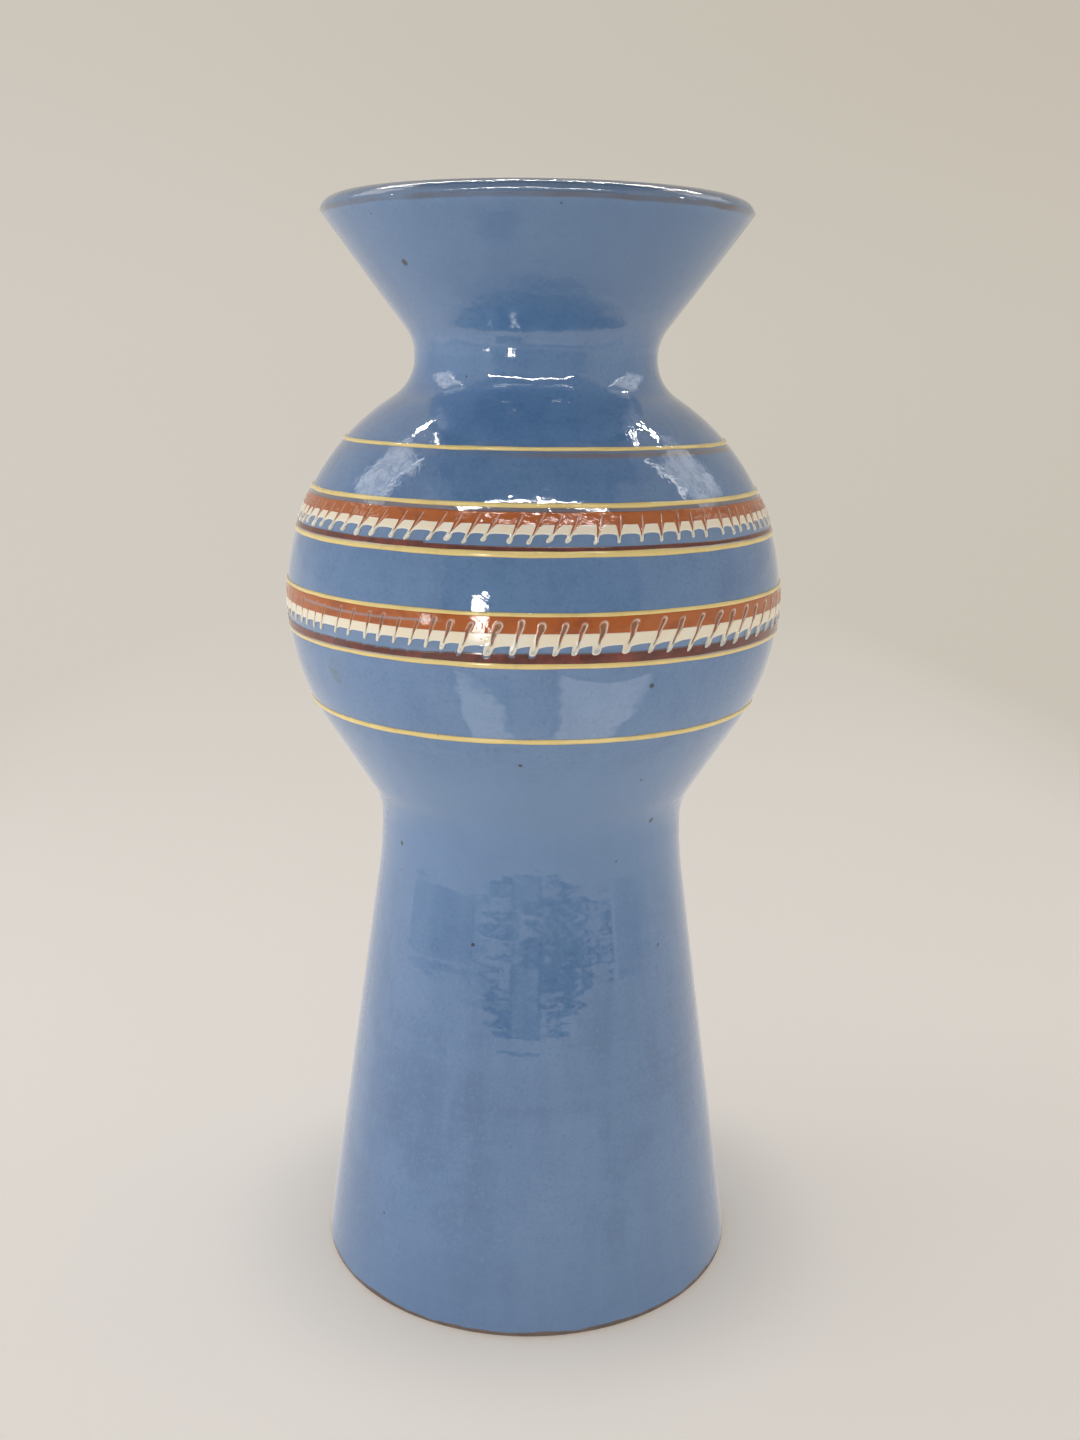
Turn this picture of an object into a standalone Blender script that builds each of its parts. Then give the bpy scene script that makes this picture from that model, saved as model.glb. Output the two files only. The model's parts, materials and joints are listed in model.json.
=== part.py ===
"""A tall slip-banded ceramic vase: pedestal, ball and funnel, thrown as three sections and luted together.

The axis is +Z, the foot stands on z = 0 and every size is in metres.
"""

import math
from dataclasses import dataclass

import bmesh
import bpy

# Pedestal: a straight taper that sweeps to vertical at the waist.
BASE_RADIUS = 0.0709
PEDESTAL_HEIGHT = 0.1541
WAIST_RADIUS = 0.0504
WAIST_SWEEP = 0.143
FLOOR_THICKNESS = 0.009
FLOOR_FILLET = 0.010
FOOT_RECESS = 0.003
FOOT_WIDTH = 0.009
FOOT_CHAMFER = 0.001

# Ball: its outline is one arc, centred a little off the axis, that ends in a short cone at the waist.
BALL_RADIUS = 0.0741
BALL_OFFSET = 0.0055
BALL_FOOT_SLOPE = 0.633
WAIST_FILLET = 0.0223

# Funnel: a straight cone above the neck, closed by a rounded lip.
NECK_RADIUS = 0.0384
NECK_FILLET = 0.0142
FUNNEL_SLOPE = 0.75
FUNNEL_HEIGHT = 0.0425
LIP_RISE = 0.004
LIP_DEPTH = 0.004

# Clay walls and the luted joints between the sections.
WALL = 0.006
SPIGOT_HEIGHT = 0.004
SEAM_GAP = 0.0003

# Slip lies on the ball. Heights are measured along the ball's surface, up from its widest ring.
SLIP_GAP = 0.0003
SLIP_THICKNESS = 0.0005
LINE_THICKNESS = 0.0006
LINE_CROWN = 0.55
LINE_WIDTH = 0.0013
SHOULDER_LINE = 0.0548
BELLY_LINE = -0.0329

LATHE_STEPS = 45
BALL_STEP = math.radians(7.5)
FILLET_STEP = math.radians(12)


@dataclass
class Band:
    """One feathered band, as a stack of stripes from its upper line down, with its row of comb strokes."""

    name: str
    top: float
    top_line: float
    ground_above: float
    terracotta: float
    cream: float
    ground_below: float
    brown: float
    base_line: float
    strokes: int
    tail_length: float
    tail_width: float
    lean: float


UPPER_BAND = Band(
    name="upper",
    top=0.0371,
    top_line=0.0014,
    ground_above=0.0012,
    terracotta=0.0036,
    cream=0.0031,
    ground_below=0.0032,
    brown=0.0010,
    base_line=0.0017,
    strokes=83,
    tail_length=0.0024,
    tail_width=0.0016,
    lean=0.25,
)

LOWER_BAND = Band(
    name="lower",
    top=0.0065,
    top_line=0.0012,
    ground_above=0.0,
    terracotta=0.0046,
    cream=0.0039,
    ground_below=0.0020,
    brown=0.0026,
    base_line=0.0013,
    strokes=79,
    tail_length=0.0014,
    tail_width=0.0028,
    lean=0.32,
)


def arc(centre, radius, start, end, most=FILLET_STEP):
    """Points along an arc, ends included, in even steps of at most that angle."""
    steps = max(2, math.ceil(abs(end - start) / most))
    points = []
    for step in range(steps + 1):
        angle = start + (end - start) * step / steps
        points.append((centre[0] + radius * math.cos(angle), centre[1] + radius * math.sin(angle)))
    return points


def material(name, colour, roughness):
    made = bpy.data.materials.new(name)
    made.use_nodes = True
    shader = made.node_tree.nodes["Principled BSDF"]
    shader.inputs["Base Color"].default_value = (*colour, 1.0)
    shader.inputs["Roughness"].default_value = roughness
    shader.inputs["Metallic"].default_value = 0.0
    return made


class Outline:
    """The half section of the vase, worked out from the sizes above."""

    def __init__(self):
        self.taper_angle = self.tangent_from_base()
        self.waist_centre = (WAIST_RADIUS + WAIST_FILLET, PEDESTAL_HEIGHT + SEAM_GAP)
        self.cone_angle = math.atan(BALL_FOOT_SLOPE)
        self.ball_centre = (BALL_OFFSET, self.ball_height())
        neck_out = NECK_RADIUS + NECK_FILLET
        rise = math.sqrt((BALL_RADIUS + NECK_FILLET) ** 2 - (neck_out - BALL_OFFSET) ** 2)
        self.neck_height = self.ball_centre[1] + rise
        self.neck_angle = math.atan2(rise, neck_out - BALL_OFFSET)
        self.funnel_angle = math.atan(FUNNEL_SLOPE)

    def tangent_from_base(self):
        """Lean of the taper, which runs from the base edge tangent to the sweep at the waist."""
        across = WAIST_RADIUS + WAIST_SWEEP - BASE_RADIUS
        distance = math.hypot(across, PEDESTAL_HEIGHT)
        return math.asin(WAIST_SWEEP / distance) - math.atan2(across, PEDESTAL_HEIGHT)

    def ball_height(self):
        """Height of the ball's centre: its foot cone meets the waist fillet without a step."""
        cosine = math.cos(self.cone_angle)
        sine = math.sin(self.cone_angle)
        tangent_radius = BALL_OFFSET + BALL_RADIUS * cosine
        across = (self.waist_centre[0] - tangent_radius) * cosine - WAIST_FILLET
        tangent_height = self.waist_centre[1] - across / sine
        return tangent_height + BALL_RADIUS * sine

    def pedestal_wall(self, inset):
        """Points up the pedestal's side, inset from its outer face, from the base to the waist."""
        sweep_centre = (WAIST_RADIUS + WAIST_SWEEP, PEDESTAL_HEIGHT)
        start = math.pi + self.taper_angle
        sweep = arc(sweep_centre, WAIST_SWEEP + inset, start, math.pi)
        foot = sweep[0][0] + sweep[0][1] * math.tan(self.taper_angle)
        return [(foot, 0.0)] + sweep

    def ball_wall(self, inset, rise):
        """Points up the ball's side, inset from its outer face, from a rise above the waist to the neck."""
        waist_radius = WAIST_FILLET + inset
        start = math.pi - math.asin(rise / waist_radius)
        points = arc(self.waist_centre, waist_radius, start, math.pi - self.cone_angle)
        most = FILLET_STEP if inset else BALL_STEP
        points += arc(self.ball_centre, BALL_RADIUS - inset, -self.cone_angle, self.neck_angle, most)
        centre = (NECK_RADIUS + NECK_FILLET, self.neck_height)
        points += arc(centre, NECK_FILLET + inset, math.pi + self.neck_angle, math.pi)[1:]
        return points

    def funnel_wall(self, inset, rise, top):
        """Points up the funnel's side, inset from its outer face, to a height above the neck."""
        centre = (NECK_RADIUS + NECK_FILLET, self.neck_height + SEAM_GAP)
        radius = NECK_FILLET + inset
        start = math.pi - math.asin(rise / radius)
        points = arc(centre, radius, start, math.pi - self.funnel_angle)
        last = points[-1]
        points.append((last[0] + FUNNEL_SLOPE * (centre[1] + top - last[1]), centre[1] + top))
        return points

    def on_ball(self, along, lift):
        """The point a height along the ball's surface, lifted off it."""
        angle = along / BALL_RADIUS
        radius = BALL_RADIUS + lift
        return (
            self.ball_centre[0] + radius * math.cos(angle),
            self.ball_centre[1] + radius * math.sin(angle),
        )


def spigot(radius, height):
    """The raised inner half of a section's rim, from its inner edge to its outer edge."""
    middle = radius - WALL / 2 - SEAM_GAP / 2
    return [
        (radius - WALL, height + SPIGOT_HEIGHT),
        (middle, height + SPIGOT_HEIGHT),
        (middle, height),
        (radius, height),
    ]


def socket(radius, height):
    """The rebate that takes a spigot, from the outer edge of the rim to the rebate's outer corner."""
    middle = radius - WALL / 2 + SEAM_GAP / 2
    return [
        (radius, height),
        (middle, height),
        (middle, height + SPIGOT_HEIGHT),
    ]


def pedestal_profile(outline):
    inner = outline.pedestal_wall(WALL)
    outer = outline.pedestal_wall(0.0)
    floor_top = FOOT_RECESS + FLOOR_THICKNESS
    slope = math.tan(outline.taper_angle)
    corner = inner[0][0] - (floor_top + FLOOR_FILLET) * slope
    points = [(0.0, floor_top), (corner - FLOOR_FILLET, floor_top)]
    points.append((corner - FLOOR_FILLET * 0.3, floor_top + FLOOR_FILLET * 0.3))
    points.append((corner, floor_top + FLOOR_FILLET))
    points += inner[1:]
    points += spigot(WAIST_RADIUS, PEDESTAL_HEIGHT)
    points += outer[-2:0:-1]
    points.append((BASE_RADIUS - FOOT_CHAMFER * slope, FOOT_CHAMFER))
    points.append((BASE_RADIUS - FOOT_CHAMFER, 0.0))
    points.append((BASE_RADIUS - FOOT_WIDTH, 0.0))
    points.append((BASE_RADIUS - FOOT_WIDTH - FOOT_RECESS, FOOT_RECESS))
    points.append((0.0, FOOT_RECESS))
    return points


def globe_profile(outline):
    outer = outline.ball_wall(0.0, 0.0)
    inner = outline.ball_wall(WALL, SPIGOT_HEIGHT)
    points = outer[-2:0:-1]
    points += socket(WAIST_RADIUS, PEDESTAL_HEIGHT + SEAM_GAP)
    points += inner
    points += spigot(NECK_RADIUS, outline.neck_height)
    return points


def funnel_profile(outline):
    outer = outline.funnel_wall(0.0, 0.0, FUNNEL_HEIGHT)
    inner = outline.funnel_wall(WALL, SPIGOT_HEIGHT, FUNNEL_HEIGHT)
    rim_radius = outer[-1][0]
    rim_height = outer[-1][1]
    crest_radius = rim_radius - LIP_DEPTH
    inside_width = crest_radius - inner[-1][0]
    points = [inner[-1]]
    for step in range(1, 4):
        angle = step / 3 * math.pi / 2
        rise = LIP_RISE * math.sin(angle)
        points.append((crest_radius - inside_width * math.cos(angle), rim_height + rise))
    for step in range(1, 5):
        angle = math.pi / 2 * (1 - step / 4)
        inward = LIP_DEPTH * (1 - math.cos(angle))
        points.append((rim_radius - inward, rim_height + LIP_RISE * math.sin(angle)))
    points += outer[-2:0:-1]
    points += socket(NECK_RADIUS, outline.neck_height + SEAM_GAP)
    points += inner[:-1]
    return points


def stripe_profile(outline, high, low, thickness, crown):
    """Four corners of a slip ring: its outer face is narrower than its back by the crown."""
    middle = (high + low) / 2
    half = (high - low) / 2
    return [
        outline.on_ball(middle + half * crown, SLIP_GAP + thickness),
        outline.on_ball(middle - half * crown, SLIP_GAP + thickness),
        outline.on_ball(low, SLIP_GAP),
        outline.on_ball(high, SLIP_GAP),
    ]


def lathe(name, profile, look, closed, parent):
    """Turns a half section round the axis."""
    mesh = bpy.data.meshes.new(name)
    shape = bmesh.new()
    corners = [shape.verts.new((radius, 0.0, height)) for radius, height in profile]
    for first, second in zip(corners, corners[1:]):
        shape.edges.new((first, second))
    if closed:
        shape.edges.new((corners[-1], corners[0]))
    shape.to_mesh(mesh)
    shape.free()
    turned = place(name, mesh, look, parent)
    screw = turned.modifiers.new("Turning", "SCREW")
    screw.axis = "Z"
    screw.angle = math.tau
    screw.steps = LATHE_STEPS
    screw.render_steps = LATHE_STEPS
    screw.use_merge_vertices = True
    screw.merge_threshold = 0.00001
    screw.use_smooth_shade = True
    return turned


def place(name, mesh, look, parent):
    made = bpy.data.objects.new(name, mesh)
    mesh.materials.append(look)
    made.parent = parent
    bpy.context.scene.collection.objects.link(made)
    return made


def feathered_stripe(outline, name, band, high, low, look, parent):
    """A cream ring whose lower edge is drawn out into one leaning tail at each comb stroke."""
    ring = math.tau / band.strokes
    half_tail = band.tail_width / 2 / (BALL_OFFSET + BALL_RADIUS)
    rows = []
    for stroke in range(band.strokes):
        centre = ring * stroke
        rows.append((centre - half_tail, low))
        rows.append((centre, low - band.tail_length))
        rows.append((centre + half_tail, low))
    shape = bmesh.new()
    loops = []
    for angle, edge in rows:
        lean = band.lean * (high - edge) / (BALL_OFFSET + BALL_RADIUS)
        corners = []
        for along, lift, turn in (
            (high, SLIP_GAP + SLIP_THICKNESS, angle),
            (edge, SLIP_GAP + SLIP_THICKNESS, angle - lean),
            (edge, SLIP_GAP, angle - lean),
            (high, SLIP_GAP, angle),
        ):
            radius, height = outline.on_ball(along, lift)
            corners.append(shape.verts.new((radius * math.cos(turn), radius * math.sin(turn), height)))
        loops.append(corners)
    for here, there in zip(loops, loops[1:] + loops[:1]):
        for corner in range(4):
            after = (corner + 1) % 4
            shape.faces.new((here[corner], here[after], there[after], there[corner]))
    mesh = bpy.data.meshes.new(name)
    shape.to_mesh(mesh)
    shape.free()
    return place(name, mesh, look, parent)


def slip_band(outline, band, looks, parent):
    """The lines and stripes of one band, stacked from its upper edge down."""
    edge = band.top
    half_gap = SLIP_GAP / 2
    for piece, width in (
        ("top_line", band.top_line),
        ("ground_above", band.ground_above),
        ("terracotta", band.terracotta),
        ("cream", band.cream),
        ("ground_below", band.ground_below),
        ("brown", band.brown),
        ("base_line", band.base_line),
    ):
        high = edge - half_gap
        low = edge - width + half_gap
        edge -= width
        if piece in ("top_line", "base_line"):
            profile = stripe_profile(outline, high, low, LINE_THICKNESS, LINE_CROWN)
            lathe(f"{band.name}_band_{piece}", profile, looks["yellow"], True, parent)
        elif piece in ("terracotta", "brown"):
            profile = stripe_profile(outline, high, low, SLIP_THICKNESS, 1.0)
            lathe(f"{band.name}_{piece}_stripe", profile, looks[piece], True, parent)
        elif piece == "cream":
            feathered_stripe(outline, f"{band.name}_cream_stripe", band, high, low, looks[piece], parent)


def main():
    for old in list(bpy.data.objects):
        bpy.data.objects.remove(old, do_unlink=True)
    looks = {
        "glaze": material("blue glaze", (0.125, 0.19, 0.29), 0.12),
        "yellow": material("yellow slip", (0.58, 0.45, 0.19), 0.18),
        "terracotta": material("terracotta slip", (0.33, 0.08, 0.02), 0.18),
        "cream": material("cream slip", (0.68, 0.60, 0.45), 0.18),
        "brown": material("brown slip", (0.09, 0.02, 0.01), 0.18),
    }
    vase = bpy.data.objects.new("vase", None)
    bpy.context.scene.collection.objects.link(vase)
    outline = Outline()
    lathe("pedestal", pedestal_profile(outline), looks["glaze"], False, vase)
    lathe("globe", globe_profile(outline), looks["glaze"], True, vase)
    lathe("funnel", funnel_profile(outline), looks["glaze"], True, vase)
    for name, along in (("shoulder_line", SHOULDER_LINE), ("belly_line", BELLY_LINE)):
        half = LINE_WIDTH / 2
        profile = stripe_profile(outline, along + half, along - half, LINE_THICKNESS, LINE_CROWN)
        lathe(name, profile, looks["yellow"], True, vase)
    slip_band(outline, UPPER_BAND, looks, vase)
    slip_band(outline, LOWER_BAND, looks, vase)


main()
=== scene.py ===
"""A tall blue slip-banded vase: pedestal, ball and funnel under a glossy glaze, with yellow lines and feathered bands.

The file is laid out as an add-on and run as a script. Lengths are in metres. Angles round the vase are measured from
its front, -Y, towards +X.
"""

import json
import math
from collections import namedtuple

import bpy
import numpy as np
from bpy.props import FloatProperty, FloatVectorProperty, PointerProperty
from mathutils import Matrix, Vector

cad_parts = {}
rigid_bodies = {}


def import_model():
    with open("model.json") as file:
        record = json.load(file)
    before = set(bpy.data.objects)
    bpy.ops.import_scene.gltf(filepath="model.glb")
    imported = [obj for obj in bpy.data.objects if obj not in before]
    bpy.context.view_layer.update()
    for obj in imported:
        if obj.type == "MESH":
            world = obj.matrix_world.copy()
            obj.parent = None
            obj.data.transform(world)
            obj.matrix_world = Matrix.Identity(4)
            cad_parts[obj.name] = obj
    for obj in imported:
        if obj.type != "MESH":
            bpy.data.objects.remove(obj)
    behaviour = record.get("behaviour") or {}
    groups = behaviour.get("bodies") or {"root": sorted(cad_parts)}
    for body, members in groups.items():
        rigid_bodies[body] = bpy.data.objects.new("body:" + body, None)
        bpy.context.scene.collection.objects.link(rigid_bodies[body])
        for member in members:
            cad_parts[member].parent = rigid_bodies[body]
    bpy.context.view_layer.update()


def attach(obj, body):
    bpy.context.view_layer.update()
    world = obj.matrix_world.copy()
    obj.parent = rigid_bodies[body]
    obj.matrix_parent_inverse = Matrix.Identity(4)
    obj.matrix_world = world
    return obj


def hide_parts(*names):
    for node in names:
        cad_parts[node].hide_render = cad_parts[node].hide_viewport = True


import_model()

bl_info = {
    "name": "Slip-banded vase",
    "version": (1, 0, 0),
    "blender": (4, 5, 0),
    "location": "View3D > Sidebar > Vase",
    "description": "Builds a glazed vase with feathered slip bands around its packed frame",
    "category": "Add Mesh",
}

MM = 0.001
# Turned sections: columns round the vase, the first row beside a seam, and the angle from which an edge stays hard.
COLUMNS = 360
SEAM_STEP = 0.0001
SHARP = math.radians(40)
# Slip: how deep its back lies in the clay, how far its edges are rounded, and how far the cream laps the terracotta.
SUNK = -0.0003
SLIP_EDGE = 0.0003
CREAM_LAP = 0.25 * MM
# Slip lines: columns round the vase and rows across, the first line's seed and the step to the next one's, and how much
# the lines under the bands are greyed along their tops towards the sides, as painted reflection.
LINE_COLUMNS, LINE_ROWS = 900, 13
LINE_SEED, SEED_STEP = 40, 7
LINE_SHEEN = 0.85
# How strongly the glaze and the glazed slip bend light.
GLAZE_BEND, SLIP_BEND = 1.86, 1.76

# Comb strokes on the front of each band, in degrees from the front; the row is carried on round the back.
UPPER_STROKES = (
    -71.9, -67.8, -64.7, -59.8, -55.4, -50.8, -46.1, -41.0, -36.3, -30.7, -26.5, -20.9, -17.1, -13.1, -9.0, -3.6,
    0.8, 4.9, 8.7, 14.2, 18.8, 24.0, 28.9, 33.5, 37.4, 41.5, 47.2, 51.3, 54.7, 58.5, 62.1,
)
LOWER_STROKES = (
    -72.9, -68.8, -64.7, -60.6, -57.5, -53.9, -50.8, -45.1, -41.0, -36.3, -32.7, -28.6, -24.5, -20.9, -17.3, -13.1,
    -7.5, -2.8, 1.3, 5.9, 9.7, 13.9, 20.4, 26.5, 31.2, 36.3, 41.5, 46.1, 50.8, 55.4, 60.1, 65.2, 70.4,
)
STROKE_PITCH = 4.48
# Columns at a stroke, in millimetres left of its middle, and the width of the columns between strokes.
STROKE_COLUMNS = np.array(
    (-1.95, -1.75, -1.55, -1.35, -1.18, -1.02, -0.88, -0.75, -0.62, -0.5, -0.38, -0.26, -0.13, 0.0)
)
COLUMN_WIDTH = 0.42 * MM
# The bead that ends a leg, from its middle out: share of its radius, lift, blue that shows through and raised edge.
HOOK_SIDES = 20
HOOK_SECTION = (
    (0.0, 0.00036, 1.0, 0.0), (0.22, 0.00037, 1.0, 0.0), (0.42, 0.00046, 0.75, 0.2), (0.58, 0.00060, 0.2, 0.8),
    (0.72, 0.00063, 0.0, 1.0), (0.85, 0.00052, 0.0, 1.0), (0.95, 0.00030, 0.0, 0.8), (1.0, 0.0, 0.0, 0.5),
    (0.97, SUNK, 0.0, 0.0), (0.0, SUNK, 0.0, 0.0),
)
# Burnt specks in the glaze: degrees from the front, height and radius.
SPECKS = (
    (-44.5, 0.3292, 0.0007), (47.2, 0.1617, 0.0006), (-55.2, 0.1511, 0.0005), (-19.5, 0.1252, 0.0004),
    (25.8, 0.2128, 0.0005), (-2.8, 0.1881, 0.0004), (131.0, 0.0870, 0.0005), (-118.0, 0.2330, 0.0005),
)
# A greenish stain on the left of the ball, drawn out upwards.
STAIN = (-0.0585, -0.0513, 0.2125)
STAIN_STRETCH = (1.0, 1.0, 0.75)
# Stage: the colour of the lamps, the point in the ball that they are turned to, half the floor's width, and where the
# background's left and right tints are full.
LAMP_WHITE = (1.0, 0.97, 0.92)
LAMP_AIM = Vector((0.0, 0.0, 0.27))
FLOOR_REACH = 12.0
SIDES = (-0.45, 0.45)


def number(name, default, description, unit="NONE"):
    return FloatProperty(name=name, description=description, default=default, unit=unit, precision=5)


def length(name, default, description):
    return number(name, default, description, "LENGTH")


def colour(name, default, description):
    return FloatVectorProperty(
        name=name, description=description, default=default, subtype="COLOR", size=3, min=0.0, max=1.0
    )


def spot(name, default, description):
    return FloatVectorProperty(name=name, description=description, default=default, subtype="TRANSLATION", size=3)


class VaseShape(bpy.types.PropertyGroup):
    """Sizes of the three thrown sections."""

    base_radius: length("Base radius", 0.0709, "Radius of the pedestal where it stands")
    pedestal_height: length("Pedestal height", 0.1541, "Height of the seam at the waist")
    waist_radius: length("Waist radius", 0.0504, "Radius at the top of the pedestal")
    waist_sweep: length("Waist sweep", 0.143, "Radius of the curve that brings the taper upright at the waist")
    ball_radius: length("Ball radius", 0.0741, "Radius of the ball's outline")
    ball_offset: length("Ball offset", 0.0055, "How far the outline's centre stands off the axis")
    ball_foot_slope: number("Ball foot slope", 0.633, "Slope of the short cone under the ball")
    waist_fillet: length("Waist fillet", 0.0223, "Radius of the hollow at the waist")
    neck_radius: length("Neck radius", 0.0384, "Radius at the narrowest of the neck")
    neck_fillet: length("Neck fillet", 0.0142, "Radius of the hollow at the neck")
    funnel_slope: number("Funnel slope", 0.75, "Outward slope of the funnel")
    funnel_height: length("Funnel height", 0.0425, "Height of the funnel's edge above the neck")
    lip_rise: length("Lip rise", 0.004, "Height of the rounded lip above the funnel's edge")
    lip_depth: length("Lip depth", 0.0058, "Distance from the funnel's edge in to the top of the lip")
    lip_bevel: number("Lip bevel", 2.6, "How much flatter the top of the lip is than its outer edge")
    wall: length("Wall", 0.006, "Thickness of the clay")
    floor_thickness: length("Floor thickness", 0.009, "Thickness of the bottom")
    floor_fillet: length("Floor fillet", 0.010, "Radius between the bottom and the inner wall")
    foot_recess: length("Foot recess", 0.003, "Depth of the hollow under the bottom")
    foot_width: length("Foot width", 0.009, "Width of the ring that the vase stands on")
    foot_round: length("Foot round", 0.0011, "Rounding of the outer edge of the foot")
    seam_gap: length("Seam gap", 0.0003, "Height of the luted joint between two sections")
    ring_height: length("Throwing rings", 0.000008, "Height of the fine spiral left by the potter's fingers")
    shoulder_line: length("Shoulder line", 0.0545, "Place of the shoulder line, along the ball from its widest ring")
    belly_line: length("Belly line", -0.0332, "Place of the belly line, along the ball from its widest ring")
    line_width: length("Shoulder line width", 0.0013, "Width of the shoulder line")
    belly_width: length("Belly line width", 0.0017, "Width of the belly line")
    line_height: length("Line height", 0.00050, "How far a slip line stands off the clay")


def band_sizes(top, top_line, ground_above, terracotta, cream, ground_below, brown, base_line, lean):
    """A band's stripe widths, from its top down, and the lean of its comb strokes."""
    return {
        "top": length("Top", top, "Upper edge, along the ball from its widest ring"),
        "top_line": length("Top line", top_line, "Width of the upper yellow line"),
        "ground_above": length("Ground above", ground_above, "Width of the greyed glaze below that line"),
        "terracotta": length("Terracotta", terracotta, "Width of the terracotta stripe"),
        "cream": length("Cream", cream, "Width of the cream stripe"),
        "ground_below": length("Ground below", ground_below, "Width of the blue glaze that shows under the cream"),
        "brown": length("Brown", brown, "Width of the brown stripe"),
        "base_line": length("Base line", base_line, "Width of the lower yellow line"),
        "lean": number("Lean", lean, "Sideways travel of a stroke for each unit of height"),
    }


class UpperBand(bpy.types.PropertyGroup):
    """Sizes of the upper band."""

    __annotations__ = band_sizes(
        top=0.0371, top_line=0.0014, ground_above=0.0012, terracotta=0.0036, cream=0.0030, ground_below=0.0033,
        brown=0.0012, base_line=0.0018, lean=0.52,
    )


class LowerBand(bpy.types.PropertyGroup):
    """Sizes of the lower band, which has no glaze between its upper line and the terracotta."""

    __annotations__ = band_sizes(
        top=0.0065, top_line=0.0012, ground_above=0.0, terracotta=0.0046, cream=0.0039, ground_below=0.0020,
        brown=0.0026, base_line=0.0016, lean=0.31,
    )


class VaseColours(bpy.types.PropertyGroup):
    """Colours of the glaze, the slips and the bare clay."""

    glaze: colour("Blue glaze", (0.088, 0.190, 0.375), "The glaze over the clay")
    # Also laid round the waist as painted light.
    pale_glaze_and_light: colour("Thin glaze", (0.118, 0.228, 0.415), "The glaze where it has run thin")
    # Also laid over the funnel as painted shade.
    deep_glaze_and_shade: colour("Thick glaze", (0.068, 0.158, 0.320), "The glaze where it has pooled")
    stain: colour("Stain", (0.085, 0.150, 0.190), "Greenish marks in the glaze")
    pinhole: colour("Pinhole", (0.008, 0.009, 0.013), "Specks where a bubble has burst")
    wash: colour("Wash", (0.190, 0.150, 0.150), "Grey-brown wash beside the slip lines")
    bare_clay: colour("Bare clay", (0.115, 0.068, 0.048), "Unglazed clay at the foot and under the bottom")
    thin_rim: colour("Thin rim", (0.135, 0.180, 0.255), "Glaze that has drawn thin over the lip")
    # Partly painted light: it lifts the shade of the glaze between the raised stripes of both bands.
    milky: colour("Milky glaze", (0.200, 0.290, 0.440), "Glaze clouded by slip inside the lower band")
    rim_break: colour("Rim break", (0.050, 0.030, 0.025), "Clay that shows where the glaze thins on the edge")
    yellow: colour("Yellow slip", (0.800, 0.615, 0.225), "The raised lines")
    yellow_thin: colour("Thin yellow slip", (0.580, 0.420, 0.150), "The lines where the slip is thin")
    terracotta: colour("Terracotta slip", (0.425, 0.100, 0.010), "The upper stripe of each band")
    terracotta_deep: colour("Thick terracotta slip", (0.300, 0.060, 0.008), "The same stripe where it has pooled")
    cream: colour("Cream slip", (0.870, 0.760, 0.565), "The feathered stripe")
    cream_white: colour("Thick cream slip", (0.860, 0.820, 0.730), "The same stripe at its raised edges")
    drop: colour("Drop centre", (0.370, 0.410, 0.460), "Blue glaze that shows through the middle of a drop")
    groove: colour("Groove", (0.205, 0.122, 0.064), "Mixed slip in the bottom of a comb stroke")
    # Painted highlight: the pale colour laid on the raised edges of the comb strokes, strongest on their right and top.
    burr: colour("Burr", (0.860, 0.690, 0.580), "The raised edge of a comb stroke")
    brown: colour("Brown slip", (0.105, 0.016, 0.008), "The lowest stripe of each band")
    halo: colour("Halo", (0.240, 0.270, 0.330), "Thin milky edge between cream and brown")
    # Also the painted reflection laid along the top of the lower yellow lines.
    smear_and_reflection: colour("Smear", (0.340, 0.285, 0.300), "Grey-lilac smear of mixed slip beside the bands")


class StageSettings(bpy.types.PropertyGroup):
    """Floor, background, lamps and camera."""

    floor: colour("Floor", (0.920, 0.850, 0.768), "Paper that the vase stands on")
    floor_glow: number("Floor glow", 0.30, "Light that the paper seems to give off by itself")
    floor_bounce: number("Floor bounce", 0.40, "Light that the paper throws on the vase")
    horizon: colour("Horizon", (0.630, 0.585, 0.525), "Background near the floor")
    sky: colour("Upper background", (0.595, 0.550, 0.485), "Background above the vase")
    fill: number("Fill light", 1.50, "Even light from all round, at the height of the vase")
    fill_above: number("Fill light above", 0.05, "Even light from overhead")
    panel_light: number("Side panels", 0.40, "Power of each side panel", "POWER")
    wall_light: number("Left wall", 1.9, "Power of the wall light", "POWER")
    camera_place: spot("Camera", (0.0, -0.4798, 0.3026), "Where the camera stands")
    lens: number("Lens", 36.85, "Focal length for a 36 mm long side", "CAMERA")
    pitch: number("Pitch", math.radians(13.74), "Downward tilt", "ROTATION")
    yaw: number("Yaw", math.radians(0.312), "Turn to the right", "ROTATION")
    roll: number("Roll", math.radians(0.695), "Turn about the line of sight", "ROTATION")


# ---------------------------------------------------------------- outline


def arc(centre, radius, start, end, step):
    """Points along an arc, ends included."""
    count = max(2, math.ceil(abs(end - start) * radius / step))
    angles = np.linspace(start, end, count + 1)
    return [(centre[0] + radius * math.cos(a), centre[1] + radius * math.sin(a)) for a in angles]


def run(start, end, step):
    """Points along a straight line, ends included."""
    count = max(1, math.ceil(math.dist(start, end) / step))
    return [tuple(np.array(start) + (np.array(end) - np.array(start)) * i / count) for i in range(count + 1)]


def radius_on(points, height):
    """Radius of a rising run of points at a height."""
    radii, heights = zip(*points)
    return float(np.interp(height, heights, radii))


def round_point(angle, radius, height):
    """A point at an angle in degrees round the vase."""
    return (radius * math.sin(math.radians(angle)), -radius * math.cos(math.radians(angle)), height)


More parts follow.
